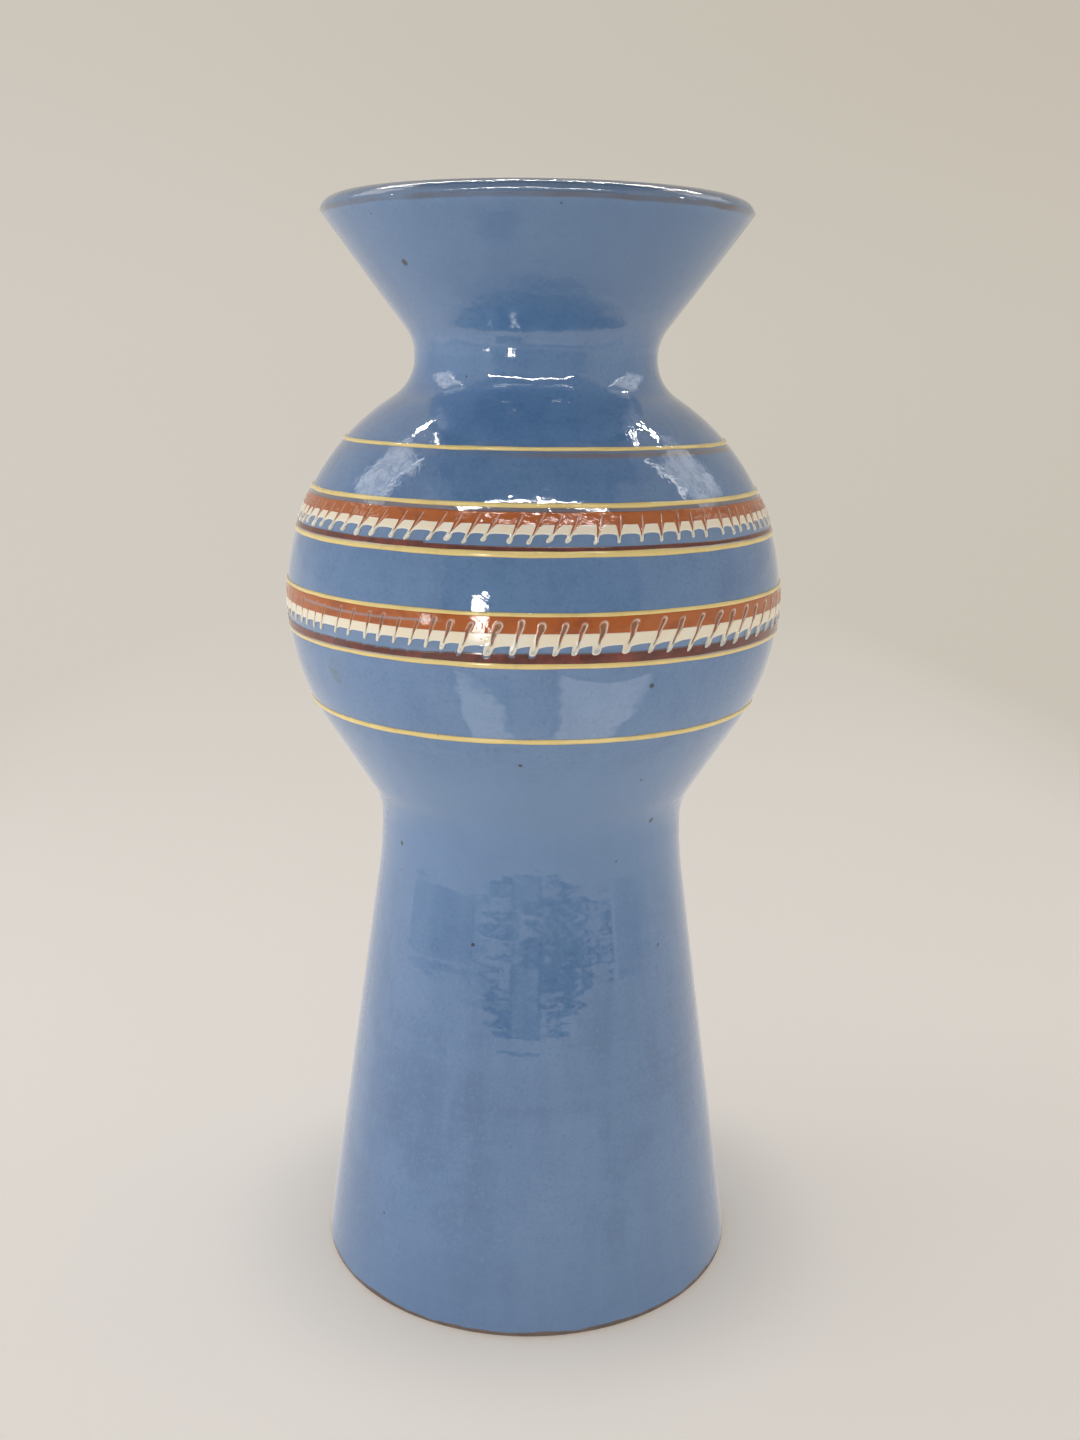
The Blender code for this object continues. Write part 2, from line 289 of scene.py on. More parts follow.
class Outline:
    """The half section of the vase."""

    def __init__(self, shape):
        self.shape = shape
        across = shape.waist_radius + shape.waist_sweep - shape.base_radius
        self.taper = math.asin(shape.waist_sweep / math.hypot(across, shape.pedestal_height))
        self.taper -= math.atan2(across, shape.pedestal_height)
        self.waist_centre = (shape.waist_radius + shape.waist_fillet, shape.pedestal_height + shape.seam_gap)
        self.cone = math.atan(shape.ball_foot_slope)
        tangent_radius = shape.ball_offset + shape.ball_radius * math.cos(self.cone)
        step = (self.waist_centre[0] - tangent_radius) * math.cos(self.cone) - shape.waist_fillet
        tangent_height = self.waist_centre[1] - step / math.sin(self.cone)
        self.ball_centre = (shape.ball_offset, tangent_height + shape.ball_radius * math.sin(self.cone))
        out = shape.neck_radius + shape.neck_fillet - shape.ball_offset
        rise = math.sqrt((shape.ball_radius + shape.neck_fillet) ** 2 - out**2)
        self.neck_height = self.ball_centre[1] + rise
        self.neck = math.atan2(rise, out)
        self.funnel = math.atan(shape.funnel_slope)
        self.ring = shape.ball_offset + shape.ball_radius
        self.waist_seam = shape.pedestal_height + shape.seam_gap / 2
        self.neck_seam = self.neck_height + shape.seam_gap / 2
        self.funnel_edge = self.neck_height + shape.seam_gap + shape.funnel_height

    def relief(self, angle, height):
        """Radial relief of the thrown surface: a fine spiral of finger rings and a slow unevenness."""
        rings = np.sin(math.tau * height / 0.0079 + angle + 0.9 * np.sin(height * 61.0))
        rings += 0.55 * np.sin(math.tau * height / 0.0047 + angle + 1.7 * np.sin(2 * angle + height * 40.0))
        rings += 0.35 * np.sin(math.tau * height / 0.0031 - 2 * angle + 1.1 * np.sin(3 * angle))
        slow = 1.1 * np.sin(2 * angle + 0.6 + height * 9.0) + 0.8 * np.sin(3 * angle + 2.0 - height * 17.0)
        slow += 0.5 * np.sin(5 * angle + 1.0 + height * 31.0)
        return self.shape.ring_height * (rings + 2.2 * slow)

    def on_ball(self, angle, along, lift):
        """Points at heights along the ball's surface, lifted off it."""
        turn = along / self.shape.ball_radius
        out = self.shape.ball_radius + lift
        radius = self.ball_centre[0] + out * np.cos(turn)
        height = self.ball_centre[1] + out * np.sin(turn)
        radius = radius + self.relief(angle, height)
        return np.stack([radius * np.sin(angle), -radius * np.cos(angle), height], axis=-1)

    def height_on_ball(self, along):
        return self.ball_centre[1] + self.shape.ball_radius * math.sin(along / self.shape.ball_radius)

    def radius_at(self, height):
        """Outside radius at a height."""
        sides = (self.pedestal_side, self.ball_side, self.funnel_side)
        return radius_on([point for side in sides for point in side(0.0, step=0.002)], height)

    def pedestal_side(self, inset, step):
        """Points up the pedestal, from the base to the waist."""
        shape = self.shape
        centre = (shape.waist_radius + shape.waist_sweep, shape.pedestal_height)
        sweep = arc(centre, shape.waist_sweep + inset, math.pi + self.taper, math.pi, step)
        foot = sweep[0][0] + sweep[0][1] * math.tan(self.taper)
        return run((foot, 0.0), sweep[0], step)[:-1] + sweep

    def ball_side(self, inset, step):
        """Points up the ball, from the waist to the neck."""
        shape = self.shape
        points = arc(self.waist_centre, shape.waist_fillet + inset, math.pi, math.pi - self.cone, step)
        ball = arc(self.ball_centre, shape.ball_radius - inset, -self.cone, self.neck, step)
        points += ball if inset else ball[1:]
        centre = (shape.neck_radius + shape.neck_fillet, self.neck_height)
        return points + arc(centre, shape.neck_fillet + inset, math.pi + self.neck, math.pi, step)[1:]

    def funnel_side(self, inset, step):
        """Points up the funnel, from the neck to the edge."""
        shape = self.shape
        base = self.neck_height + shape.seam_gap
        centre = (shape.neck_radius + shape.neck_fillet, base)
        points = arc(centre, shape.neck_fillet + inset, math.pi, math.pi - self.funnel, step)
        last, top = points[-1], self.funnel_edge
        return points + run(last, (last[0] + shape.funnel_slope * (top - last[1]), top), step)[1:]


def pedestal_profile(outline):
    """From the middle of the bottom inside, over the seam and down the outside, to the middle underneath."""
    shape = outline.shape
    inner = outline.pedestal_side(shape.wall, step=0.004)
    outer = outline.pedestal_side(0.0, step=0.0009)
    top = shape.foot_recess + shape.floor_thickness
    rise = top + shape.floor_fillet
    centre = (radius_on(inner, rise) - shape.floor_fillet, rise)
    seam, waist = outline.waist_seam, shape.waist_radius
    points = [(0.0, top)] + run((0.012, top), (centre[0], top), step=0.008)
    points += arc(centre, shape.floor_fillet, -math.pi / 2, 0.0, 0.002)[1:]
    points += [p for p in inner if rise + 0.001 < p[1] < seam - 0.001]
    points += [(waist - shape.wall, seam), (waist, seam), (waist, seam - SEAM_STEP)]
    foot_height = shape.foot_round * 1.2
    points += [p for p in outer[::-1] if foot_height + 0.0004 < p[1] < seam - 2 * SEAM_STEP]
    edge = shape.base_radius - foot_height * math.tan(outline.taper)
    points += arc((edge - shape.foot_round, shape.foot_round), shape.foot_round, 0.0, -math.pi / 2, 0.0002)
    inside = shape.base_radius - shape.foot_width
    points += [(inside + 0.004, 0.0), (inside, 0.0), (inside - 0.0012, 0.0004)]
    return points + [(radius, shape.foot_recess) for radius in (inside - shape.foot_recess, 0.03, 0.01, 0.0)]


def globe_profile(outline):
    """Down the outside from the neck to the waist, then up the inside."""
    shape = outline.shape
    outer = outline.ball_side(0.0, step=0.0008)
    inner = outline.ball_side(shape.wall, step=0.003)
    neck, waist = shape.neck_radius, shape.waist_radius
    low, high = outline.waist_seam, outline.neck_seam
    points = [(neck, high), (neck, high - SEAM_STEP)] + outer[-2:0:-1]
    points += [(waist, low + SEAM_STEP), (waist, low), (waist - shape.wall, low)] + inner[1:-1]
    return points + [(neck - shape.wall, high)]


def funnel_profile(outline):
    """Up the inside from the neck, over the lip and down the outside."""
    shape = outline.shape
    outer = outline.funnel_side(0.0, step=0.0008)
    inner = outline.funnel_side(shape.wall, step=0.0015)
    edge_radius, edge_height = outer[-1]
    # The lip turns quickly over its outer edge and then rises slowly to a crest near the inside.
    tilt = np.radians(np.linspace(10.0, 90.0, 41))
    bend = 1.0 + (shape.lip_bevel - 1.0) * smooth(math.radians(50), math.radians(70), tilt)
    inward, upward = (np.cumsum((bend * part(tilt))[1:]) for part in (np.sin, np.cos))
    inward, upward = inward / inward[-1] * shape.lip_depth, upward / upward[-1] * shape.lip_rise
    crest = edge_radius - shape.lip_depth
    inside = crest - inner[-1][0]
    points = [(shape.neck_radius - shape.wall, outline.neck_seam)] + inner[1:-1]
    for angle in np.linspace(0.0, math.pi / 2, 13):
        points.append((crest - inside * math.cos(angle), edge_height + shape.lip_rise * math.sin(angle)))
    points += [(edge_radius - i, edge_height + u) for i, u in zip(inward[-2::-1], upward[-2::-1])]
    points += [(edge_radius + 0.00002, edge_height + 0.0001), (edge_radius - 0.00002, edge_height - 0.0001)]
    points += [(edge_radius - 0.0003, edge_height - 0.0004)] + outer[-2:0:-1]
    return points + [(shape.neck_radius, outline.neck_seam + SEAM_STEP), (shape.neck_radius, outline.neck_seam)]


# ---------------------------------------------------------------- meshes


def add_object(name, data):
    made = bpy.data.objects.new(name, data)
    bpy.context.scene.collection.objects.link(made)
    return made


def make_mesh(name, points, faces, marks=None):
    """A smooth mesh object, with its marks kept as numbers on its points."""
    mesh = bpy.data.meshes.new(name)
    mesh.from_pydata(points, [], faces)
    for mark, values in (marks or {}).items():
        kept = mesh.attributes.new(mark, "FLOAT", "POINT")
        kept.data.foreach_set("value", np.asarray(values, dtype=np.float32).ravel())
    mesh.polygons.foreach_set("use_smooth", [True] * len(mesh.polygons))
    mesh.set_sharp_from_angle(angle=SHARP)
    mesh.validate()
    return add_object(name, mesh)


def turn(name, outline, profile, closed):
    """Turns a half section round the axis. A point on the axis becomes one pole."""
    angles = np.linspace(0.0, math.tau, COLUMNS, endpoint=False)
    points, rows = [], []
    for radius, height in profile:
        if radius < 1e-6:
            rows.append([len(points)] * COLUMNS)
            points.append((0.0, 0.0, height))
            continue
        # The relief fades out near the foot, so that the vase stands flat.
        full = radius + outline.relief(angles, height) * min(1.0, height / 0.004)
        rows.append(list(range(len(points), len(points) + COLUMNS)))
        points += zip(full * np.sin(angles), -full * np.cos(angles), np.full(COLUMNS, height))
    faces = []
    for above, below in zip(rows, rows[1:] + rows[:1] if closed else rows[1:]):
        for column in range(COLUMNS):
            after = (column + 1) % COLUMNS
            corners = (above[column], below[column], below[after], above[after])
            faces.append(tuple(dict.fromkeys(corners)))
    return make_mesh(name, [tuple(map(float, p)) for p in points], faces)


def ring_mesh(name, points, marks, beads=None):
    """A closed ring from a grid of points, columns round the vase and rows round the section, and any beads on it."""
    columns, rows = points.shape[:2]
    index = np.arange(columns * rows).reshape(columns, rows)
    after = np.roll(index, -1, axis=0)
    faces = np.stack([index, np.roll(index, -1, axis=1), np.roll(after, -1, axis=1), after], axis=-1)
    points, faces = points.reshape(-1, 3), faces.reshape(-1, 4).tolist()
    if beads:
        bead_points, bead_faces, bead_marks = beads
        faces += [tuple(corner + len(points) for corner in face) for face in bead_faces]
        points = np.concatenate([points, bead_points])
        marks = {mark: np.concatenate([values.ravel(), bead_marks[mark]]) for mark, values in marks.items()}
    return make_mesh(name, points.tolist(), faces, marks)


def wander(angle, seed, cycles=(2, 3, 5, 8, 13)):
    """A smooth uneven value round the vase, about -1 to 1."""
    draw = np.random.default_rng(seed)
    total = np.zeros_like(angle)
    for cycle in cycles:
        total += draw.uniform(0.4, 1.0) * np.sin(cycle * angle + draw.uniform(0.0, math.tau))
    return total / (0.55 * len(cycles))


def smooth(low, high, value):
    """0 below low, 1 above high and smooth between. With low over high it falls instead."""
    share = np.clip((value - low) / (high - low), 0.0, 1.0)
    return share * share * (3 - 2 * share)


def round_edge(distance, width):
    """Height of a rounded edge, from 0 at the edge to 1 a width inside it."""
    share = np.clip(distance / width, 0.0, 1.0)
    return np.sqrt(np.maximum(0.0, 1 - (1 - share) ** 2))


def with_back(along, lift):
    """Adds the two rows of a back that is sunk in the clay."""
    back = along[:, [-1, 0]]
    return np.concatenate([along, back], axis=1), np.concatenate([lift, np.full_like(back, SUNK)], axis=1)


def slip_line(outline, name, high, low, seed, greyed):
    """A trailed line of slip: a crowned bead that wanders and swells a little, greyed along its top by a share.

    The grey is painted reflection, growing away from the front.
    """
    angle = np.linspace(-math.pi, math.pi, LINE_COLUMNS, endpoint=False)
    middle = (high + low) / 2 + 0.00010 * wander(angle, seed) + 0.00003 * wander(angle, seed + 1, (17, 29, 43))
    half = (high - low) / 2 * (1.04 + 0.10 * wander(angle, seed + 2, (4, 9, 15, 27)))
    crest = outline.shape.line_height * (1 + 0.12 * wander(angle, seed + 3, (5, 11, 23)))
    across = np.cos(np.linspace(0.0, math.pi, LINE_ROWS))
    along = middle[:, None] + half[:, None] * across
    lift = crest[:, None] * np.sqrt(np.maximum(0.0, 1 - across**2)) ** 0.8 - 0.00003
    along, lift = with_back(along, lift)
    edge = np.concatenate([np.abs(across), (1.0, 1.0)])
    upper = np.concatenate([smooth(0.15, 0.65, across), (0.0, 1.0)])
    # Painted reflection: grey along the top of the line, growing away from the front.
    wash = greyed * upper * smooth(0.30, 0.75, np.abs(angle + 0.1 * wander(angle, seed + 4)))[:, None]
    made = outline.on_ball(angle[:, None] + 0 * along, along, lift)
    return ring_mesh(name, made, {"edge": np.broadcast_to(edge, along.shape), "wash": wash})


# ---------------------------------------------------------------- feathered bands


def bell(value, width):
    """1 at zero, falling away over a width on both sides."""
    return np.exp(-((value / width) ** 2))


def notched(x, left, right, left_power, right_power):
    """1 in the middle of a comb stroke, falling to 0 a width to its left and to its right."""
    left_side = np.clip(1 + x / left, 0.0, 1.0) ** left_power
    right_side = np.clip(1 - x / right, 0.0, 1.0) ** right_power
    return np.where(x <= 0, left_side, right_side)


Edges = namedtuple("Edges", "top_line ground_above terracotta cream ground_below brown base_line end")


def band_edges(band):
    """Where each stripe of a band starts, along the ball from its widest ring, and where the last one ends."""
    widths = [getattr(band, stripe) for stripe in Edges._fields[:-1]]
    return Edges(*np.subtract.accumulate([band.top, *widths]).tolist())


class Feathering:
    """One band's edges and comb strokes, worked out for columns that follow the strokes' lean.

    Distances across a stroke are in millimetres. A subclass gives the strokes in front, the angles over which the comb
    was drawn more firmly on the right, how much further the strokes lean there, and the rows, lift, edge and halo of
    its brown stripe.
    """

    def __init__(self, outline, band):
        self.outline, self.band = outline, band
        self.ring = outline.ring
        self.edges = band_edges(band)
        self.pivot = self.edges.cream
        draw = np.random.default_rng(self.seed)
        self.centres = self.stroke_row(draw)
        count = len(self.centres)
        self.size = draw.uniform(0.80, 1.20, count)
        self.depth = draw.uniform(0.78, 1.20, count)
        self.start = draw.uniform(-0.55, 0.55, count)
        self.firmly = self.firm_side(self.centres, *self.firm)
        self.tilt = draw.uniform(-0.07, 0.07, count) + self.firm_tilt * self.firmly
        self.columns = self.comb_columns()
        gaps = (self.columns[:, None] - self.centres + math.pi) % math.tau - math.pi
        self.across = gaps * self.ring / MM
        self.nearest = np.argmin(np.abs(gaps), axis=1)
        self.near = np.take_along_axis(self.across, self.nearest[:, None], axis=1)
        wrapped = np.concatenate([self.centres - math.tau, self.centres, self.centres + math.tau])
        self.lean = band.lean + np.interp(self.columns, wrapped, np.tile(self.tilt, 3))

    def firm_side(self, angle, start, full):
        """0 to 1 from start to full on the right of the front, and 0 again behind."""
        return smooth(start, full, angle) * smooth(1.65, 1.35, angle)

    def stroke_row(self, draw):
        """The front strokes, carried on round the back at the same pitch with a hand's unevenness."""
        first, last = self.strokes[0], self.strokes[-1]
        gap = 360 - (last - first)
        steps = draw.uniform(0.86, 1.14, round(gap / STROKE_PITCH))
        places = last + np.cumsum(steps)[:-1] * gap / steps.sum()
        row = np.radians(np.concatenate([self.strokes, places]))
        return np.sort((row + math.pi) % math.tau - math.pi)

    def comb_columns(self):
        """Columns set close together at each stroke and wider between strokes."""
        close = np.concatenate([STROKE_COLUMNS, -STROKE_COLUMNS[-2::-1]]) * MM / self.ring
        columns = []
        following = np.append(self.centres[1:], self.centres[0] + math.tau)
        for centre, after in zip(self.centres, following):
            columns.append(centre + close)
            left, right = centre + close[-1], after + close[0]
            count = max(1, int((right - left) * self.ring / COLUMN_WIDTH))
            columns.append(np.linspace(left, right, count + 2)[1:-1])
        return np.concatenate(columns)

    def at_strokes(self, values):
        """Each column's value, from the stroke nearest to it."""
        return values[self.nearest][:, None]

    def grid(self, top, bottom, rows):
        """Heights along the ball for a stripe between two edges, with rows close together at both."""
        share = (1 - np.cos(np.linspace(0.0, math.pi, rows))) / 2
        return top[:, None] + (bottom - top)[:, None] * share

    def stripe(self, name, along, lift, marks, beads=None):
        """A closed stripe: its outer face, whose columns lean with the strokes, and a back sunk in the clay."""
        along, lift = with_back(along, lift)
        angle = self.columns[:, None] + self.lean[:, None] * (along - self.pivot) / self.ring
        padded = {mark: np.pad(values, ((0, 0), (0, 2)), mode="edge") for mark, values in marks.items()}
        return ring_mesh(name, self.outline.on_ball(angle, along, lift), padded, beads)

    def brown(self, name):
        """The brown stripe, tucked under the yellow line below it."""
        rows, crest, fade, halo = self.brown_cut
        top = self.brown_top
        along = self.grid(top, np.full_like(top, self.edges.base_line - 0.3 * MM), rows)
        below = top[:, None] - along
        return self.stripe(name, along, crest * round_edge(below, SLIP_EDGE), {"edge": halo * smooth(fade, 0.0, below)})


class UpperFeathering(Feathering):
    """Cream cut into blocks by leaning notches, each drawn out below into a thin leg with a small hook."""

    seed, strokes = 11, UPPER_STROKES
    firm, firm_tilt = (0.16, 0.36), -0.40
    brown_cut = 8, 0.00022, 0.0003, 0.5

    def __init__(self, outline, band):
        super().__init__(outline, band)
        x, size, firm, edges = self.across, self.size, self.firmly, self.edges
        notch = notched(x, (0.62 + 0.62 * firm) * size, (1.70 - 0.45 * firm) * size, 1.35, 1.35)
        notch = (notch * (3.75 * self.depth)).max(axis=1) * MM
        leg = np.maximum(0.0, 1 - (np.abs(x + 0.02) / ((0.78 - 0.14 * firm) * size)) ** 2.0) ** (0.75 + 0.6 * firm)
        leg = np.maximum(leg, 0.22 * np.exp(-np.abs(x) / 0.7))
        tail = (leg * (2.25 * self.depth)).max(axis=1) * MM
        arch = (0.28 * np.abs(np.sin(self.columns * 1.7)) + 0.12) * (1 - bell(self.near[:, 0], 1.4)) * MM
        uneven = 0.10 * MM * wander(self.columns, self.seed + 5, (3, 7, 12))
        self.cream_low = edges.ground_below - tail + arch + uneven
        self.cream_top = np.maximum(edges.cream - notch + uneven, self.cream_low + 0.42 * MM)
        step = smooth(-0.375, -0.385, self.columns) * smooth(-1.7, -0.9, self.columns)
        self.brown_top = edges.brown + (0.55 * step + 0.12 * wander(self.columns, self.seed + 6)) * MM
        self.hook = edges.ground_below - (2.25 * self.depth - 0.55 * size) * MM

    def terracotta(self, name):
        top = self.edges.terracotta + 0.08 * MM * wander(self.columns, self.seed + 7, (4, 9, 17))
        bottom = self.cream_top - CREAM_LAP
        along = self.grid(top, bottom, 20)
        below = top[:, None] - along
        scratch = bell(self.near, 0.2) * smooth(0.0, 1.0, below / MM - 1.0)
        # The burr right of each stroke is raised, and painted pale as a highlight.
        burr = bell(self.near - 0.42, 0.17) * smooth(0.6, 1.6, below / MM)
        swell = 0.65 + 0.35 * wander(self.columns, self.seed + 8, (31, 47, 71, 97))[:, None]
        bank = 0.00017 * smooth(1.7, 0.0, (along - bottom[:, None]) / MM) * swell
        lift = (0.00026 - 0.00012 * scratch + 0.00009 * burr) * round_edge(below, SLIP_EDGE) + bank
        marks = {
            "groove": 0.55 * scratch,
            "burr": 0.6 * burr,
            "edge": smooth(0.0005, 0.0, below),
            "streak": np.zeros_like(along),
            "pitted": np.ones_like(along),
        }
        return self.stripe(name, along, lift, marks)

    def cream(self, name):
        top, bottom = self.cream_top, self.cream_low
        along = self.grid(top, bottom, 16)
        inside = np.minimum(top[:, None] - along, along - bottom[:, None])
        reach = np.hypot(self.near + 0.05, (self.at_strokes(self.hook) - along) / MM)
        lift = 0.00040 + 0.00022 * smooth(1.5, 0.6, reach) - 0.00014 * smooth(0.5, 0.1, reach)
        lift = lift * (0.12 + 0.88 * round_edge(inside, 0.00034))
        edge = np.maximum(smooth(0.0006, 0.0001, inside), 0.8 * smooth(0.95, 0.45, reach))
        marks = {"drop": np.zeros_like(along), "edge": edge, "groove": np.zeros_like(along)}
        return self.stripe(name, along, lift, marks, self.hooks())

    def hooks(self):
        """Points, faces and marks of the small ring-shaped bead that ends each leg."""
        turns = np.linspace(0.0, math.tau, HOOK_SIDES, endpoint=False)
        lean = self.band.lean + self.tilt
        radius = (0.88 - 0.42 * self.firmly) * MM * self.size
        draw = np.random.default_rng(self.seed + 90)
        points, faces, drops, edges = [], [], [], []
        for stroke, (centre, along) in enumerate(zip(self.centres, self.hook)):
            first = len(points)
            middle = centre + lean[stroke] * (along - self.pivot) / self.ring
            phases = draw.uniform(0.0, math.tau, 3)
            wobble = 1 + 0.09 * np.sin(turns + phases[0]) + 0.08 * np.sin(2 * turns + phases[1])
            wobble = draw.uniform(0.88, 1.12) * wobble + 0.05 * np.sin(3 * turns + phases[2])
            tall = draw.uniform(1.0, 1.22)
            for share, lift, drop, edge in HOOK_SECTION:
                count = HOOK_SIDES if share else 1
                reach = share * radius[stroke] * wobble[:count]
                up = tall * reach * np.cos(turns[:count])
                across = reach * np.sin(turns[:count]) + lean[stroke] * up
                points += list(self.outline.on_ball(middle + across / self.ring, along + up, lift + 0 * up))
                drops += [drop] * count
                edges += [edge] * count
            rows = [first + 1 + HOOK_SIDES * row for row in range(len(HOOK_SECTION) - 2)]
            last = len(points) - 1
            for side in range(HOOK_SIDES):
                after = (side + 1) % HOOK_SIDES
                faces.append((first, first + 1 + after, first + 1 + side))
                for above, below in zip(rows, rows[1:]):
                    faces.append((above + side, above + after, below + after, below + side))
                faces.append((rows[-1] + side, rows[-1] + after, last))
        marks = {"drop": np.array(drops), "edge": np.array(edges), "groove": np.zeros(len(points))}
        return np.array(points), faces, marks


class LowerFeathering(Feathering):
    """Strokes that start as looped grooves in the terracotta and end as round-ended cream legs over the brown."""

    seed, strokes = 23, LOWER_STROKES
    firm, firm_tilt = (0.34, 0.62), 0.20
    brown_cut = 10, 0.00024, 0.0004, 1.0

    def __init__(self, outline, band):
        super().__init__(outline, band)
        x, firm, edges = self.across, self.firmly, self.edges
        vigour, local = self.vigour(self.centres), self.vigour(self.columns)
        self.force = self.size * vigour
        width = 0.60 * self.size * (0.55 + 0.45 * vigour)
        notch = notched(x, width, width + 0.85 * firm, 0.62, 0.62 + 0.55 * firm)
        notch = notch * (band.cream / MM * (0.42 + 0.40 * vigour + 0.28 * firm)) * self.depth
        low = x + 0.28
        reach = (0.28 + 0.92 * vigour) * self.size * (1 - 0.30 * firm)
        inward = np.clip(1 - np.abs(low) / reach, 0.0, 1.0)
        leg = 0.55 * smooth(0.0, 0.22, inward) + 0.45 * np.sqrt(inward * (2 - inward))
        sweep = np.where(low < 0, 0.0, 0.62 * np.exp(-np.maximum(low, 0.0) / (0.25 + 1.25 * vigour)))
        tail_depth = (2.0 + 0.80 * vigour + 0.55 * firm) * (0.62 + 0.38 * self.depth)
        tail = (np.maximum(leg, sweep) * tail_depth).max(axis=1) * MM
        uneven = 0.12 * MM * wander(self.columns, self.seed + 5, (2, 5, 9, 14))
        cream_low = edges.ground_below - tail + uneven + (1.15 - 0.80 * local) * MM
        self.cream_low = np.maximum(cream_low, edges.base_line - 0.15 * MM)
        cream_top = edges.cream - notch.max(axis=1) * MM + 0.4 * uneven
        self.cream_top = np.maximum(cream_top, self.cream_low + 0.5 * MM)
        self.drop = edges.ground_below + (1.15 - 0.80 * vigour - tail_depth) * MM + 0.95 * reach * MM
        # The brown follows the cream's lower edge on the left and runs on its own on the right.
        cusp = (bell(low, 0.6) * 0.30 * (1.2 - vigour)).max(axis=1) * MM
        own = edges.brown + (0.85 * local - 0.55) * MM + 1.2 * uneven - cusp
        under = self.cream_low - 0.42 * MM
        follow = smooth(-0.8 * MM, 0.8 * MM, own - under) * (1 - self.firm_side(self.columns, 0.02, 0.09))
        brown_top = own * (1 - follow) + under * follow - 0.35 * MM * follow * (1 - follow)
        self.brown_top = np.maximum(brown_top, edges.base_line + 0.30 * MM)

    def vigour(self, angle):
        """How hard the comb was pressed: lightly on the left of the front, firmly on the right, unevenly behind."""
        front = (0.22 + 0.78 * smooth(-0.42, -0.16, angle)) * (1 - 0.30 * smooth(0.95, 1.35, angle))
        back = 0.62 + 0.30 * np.sin(2 * angle + 0.8) * np.sin(5 * angle)
        behind = smooth(1.25, 1.6, np.abs(angle))
        return front * (1 - behind) + back * behind

    def loop(self, along):
        """Distance outside the nearest stroke's looped groove, and depth below its top, in millimetres."""
        force, size, start = (self.at_strokes(values) for values in (self.force, self.size, self.start))
        below = (self.edges.terracotta - along) / MM - (1.45 + start) * (1.15 - 0.15 * force)
        wide = (0.32 + 0.60 * force) * size
        thin = 0.20 + 0.16 * force
        radius = wide + (thin - wide) * np.clip(below / 5.2, 0.0, 1.0) ** 0.85
        bow = 0.16 * force * np.sin(below * 1.3 + 9.0 * start)
        return np.hypot(self.near + bow, np.minimum(below - wide, 0.0)) - radius, below

    def terracotta(self, name):
        top = np.full_like(self.columns, self.edges.terracotta + 0.2 * MM)
        along = self.grid(top, self.cream_top - CREAM_LAP, 26)
        inside = top[:, None] - along
        distance, below = self.loop(along)
        groove = smooth(0.05, -0.30, distance)
        # The loop's rim is raised, and painted pale as a highlight, strongest on its right and top.
        side = 0.62 + 0.38 * np.tanh(1.6 * self.near)
        rim = bell(distance - 0.12, 0.21) * np.clip(side + 0.35 * smooth(1.2, -0.3, below), 0.0, 1.0)
        rim = rim * np.clip(self.at_strokes(self.force) * 1.25, 0.3, 1.0)
        lift = (0.00027 - 0.00021 * groove + 0.00030 * rim) * (0.2 + 0.8 * round_edge(inside, SLIP_EDGE))
        angle = self.columns[:, None]
        streak = bell((self.edges.terracotta - along) / MM - 2.2 - 0.30 * np.sin(angle * 7), 0.30)
        streak = streak * smooth(-1.12, -0.98, angle) * smooth(-0.30, -0.42, angle)
        marks = {
            "groove": groove,
            "burr": rim,
            "edge": smooth(0.0005, 0.0, inside),
            "streak": streak,
            "pitted": np.full_like(along, 0.25),
        }
        return self.stripe(name, along, lift, marks)

    def cream(self, name):
        top, bottom = self.cream_top, self.cream_low
        along = self.grid(top, bottom, 20)
        above = along - bottom[:, None]
        inside = np.minimum(top[:, None] - along, above)
        distance, _ = self.loop(along)
        force = self.at_strokes(self.force)
        reach = np.hypot(self.near + 0.28, (self.at_strokes(self.drop) - along) / MM) / (0.55 + 0.45 * force)
        dome = smooth(1.9, 0.7, reach) * np.clip(force, 0.2, 1.1)
        groove = smooth(0.12, -0.22, distance) * (1 - smooth(2.0, 1.2, reach))
        rim = bell(distance - 0.12, 0.17) * np.clip(force, 0.2, 1.0)
        lift = 0.00040 + 0.00024 * dome - 0.00016 * smooth(0.75, 0.15, reach) - 0.00020 * groove + 0.00012 * rim
        lift = lift * (0.12 + 0.88 * round_edge(inside, 0.00036))
        marks = {
            "drop": smooth(1.25, 0.30, reach) * np.clip(force, 0.0, 1.0),
            # The rims of the grooves are whitened as a painted highlight as well.
            "edge": np.maximum(smooth(0.0007, 0.0001, above), 0.75 * rim),
            "groove": groove,
        }
        return self.stripe(name, along, lift, marks)


# ---------------------------------------------------------------- looks


class Value:
    """A shader socket that takes part in arithmetic: each operation adds its Math node."""

    def __init__(self, look, socket):
        self.look, self.socket = look, socket

    def __add__(self, other):
        return self.look.math("ADD", self, other)

    def __sub__(self, other):
        return self.look.math("SUBTRACT", self, other)

    def __rsub__(self, other):
        return self.look.math("SUBTRACT", other, self)

    def __mul__(self, other):
        return self.look.math("MULTIPLY", self, other)

    def __truediv__(self, other):
        return self.look.math("DIVIDE", self, other)

    def __abs__(self):
        return self.look.math("ABSOLUTE", self)

    __radd__ = __add__


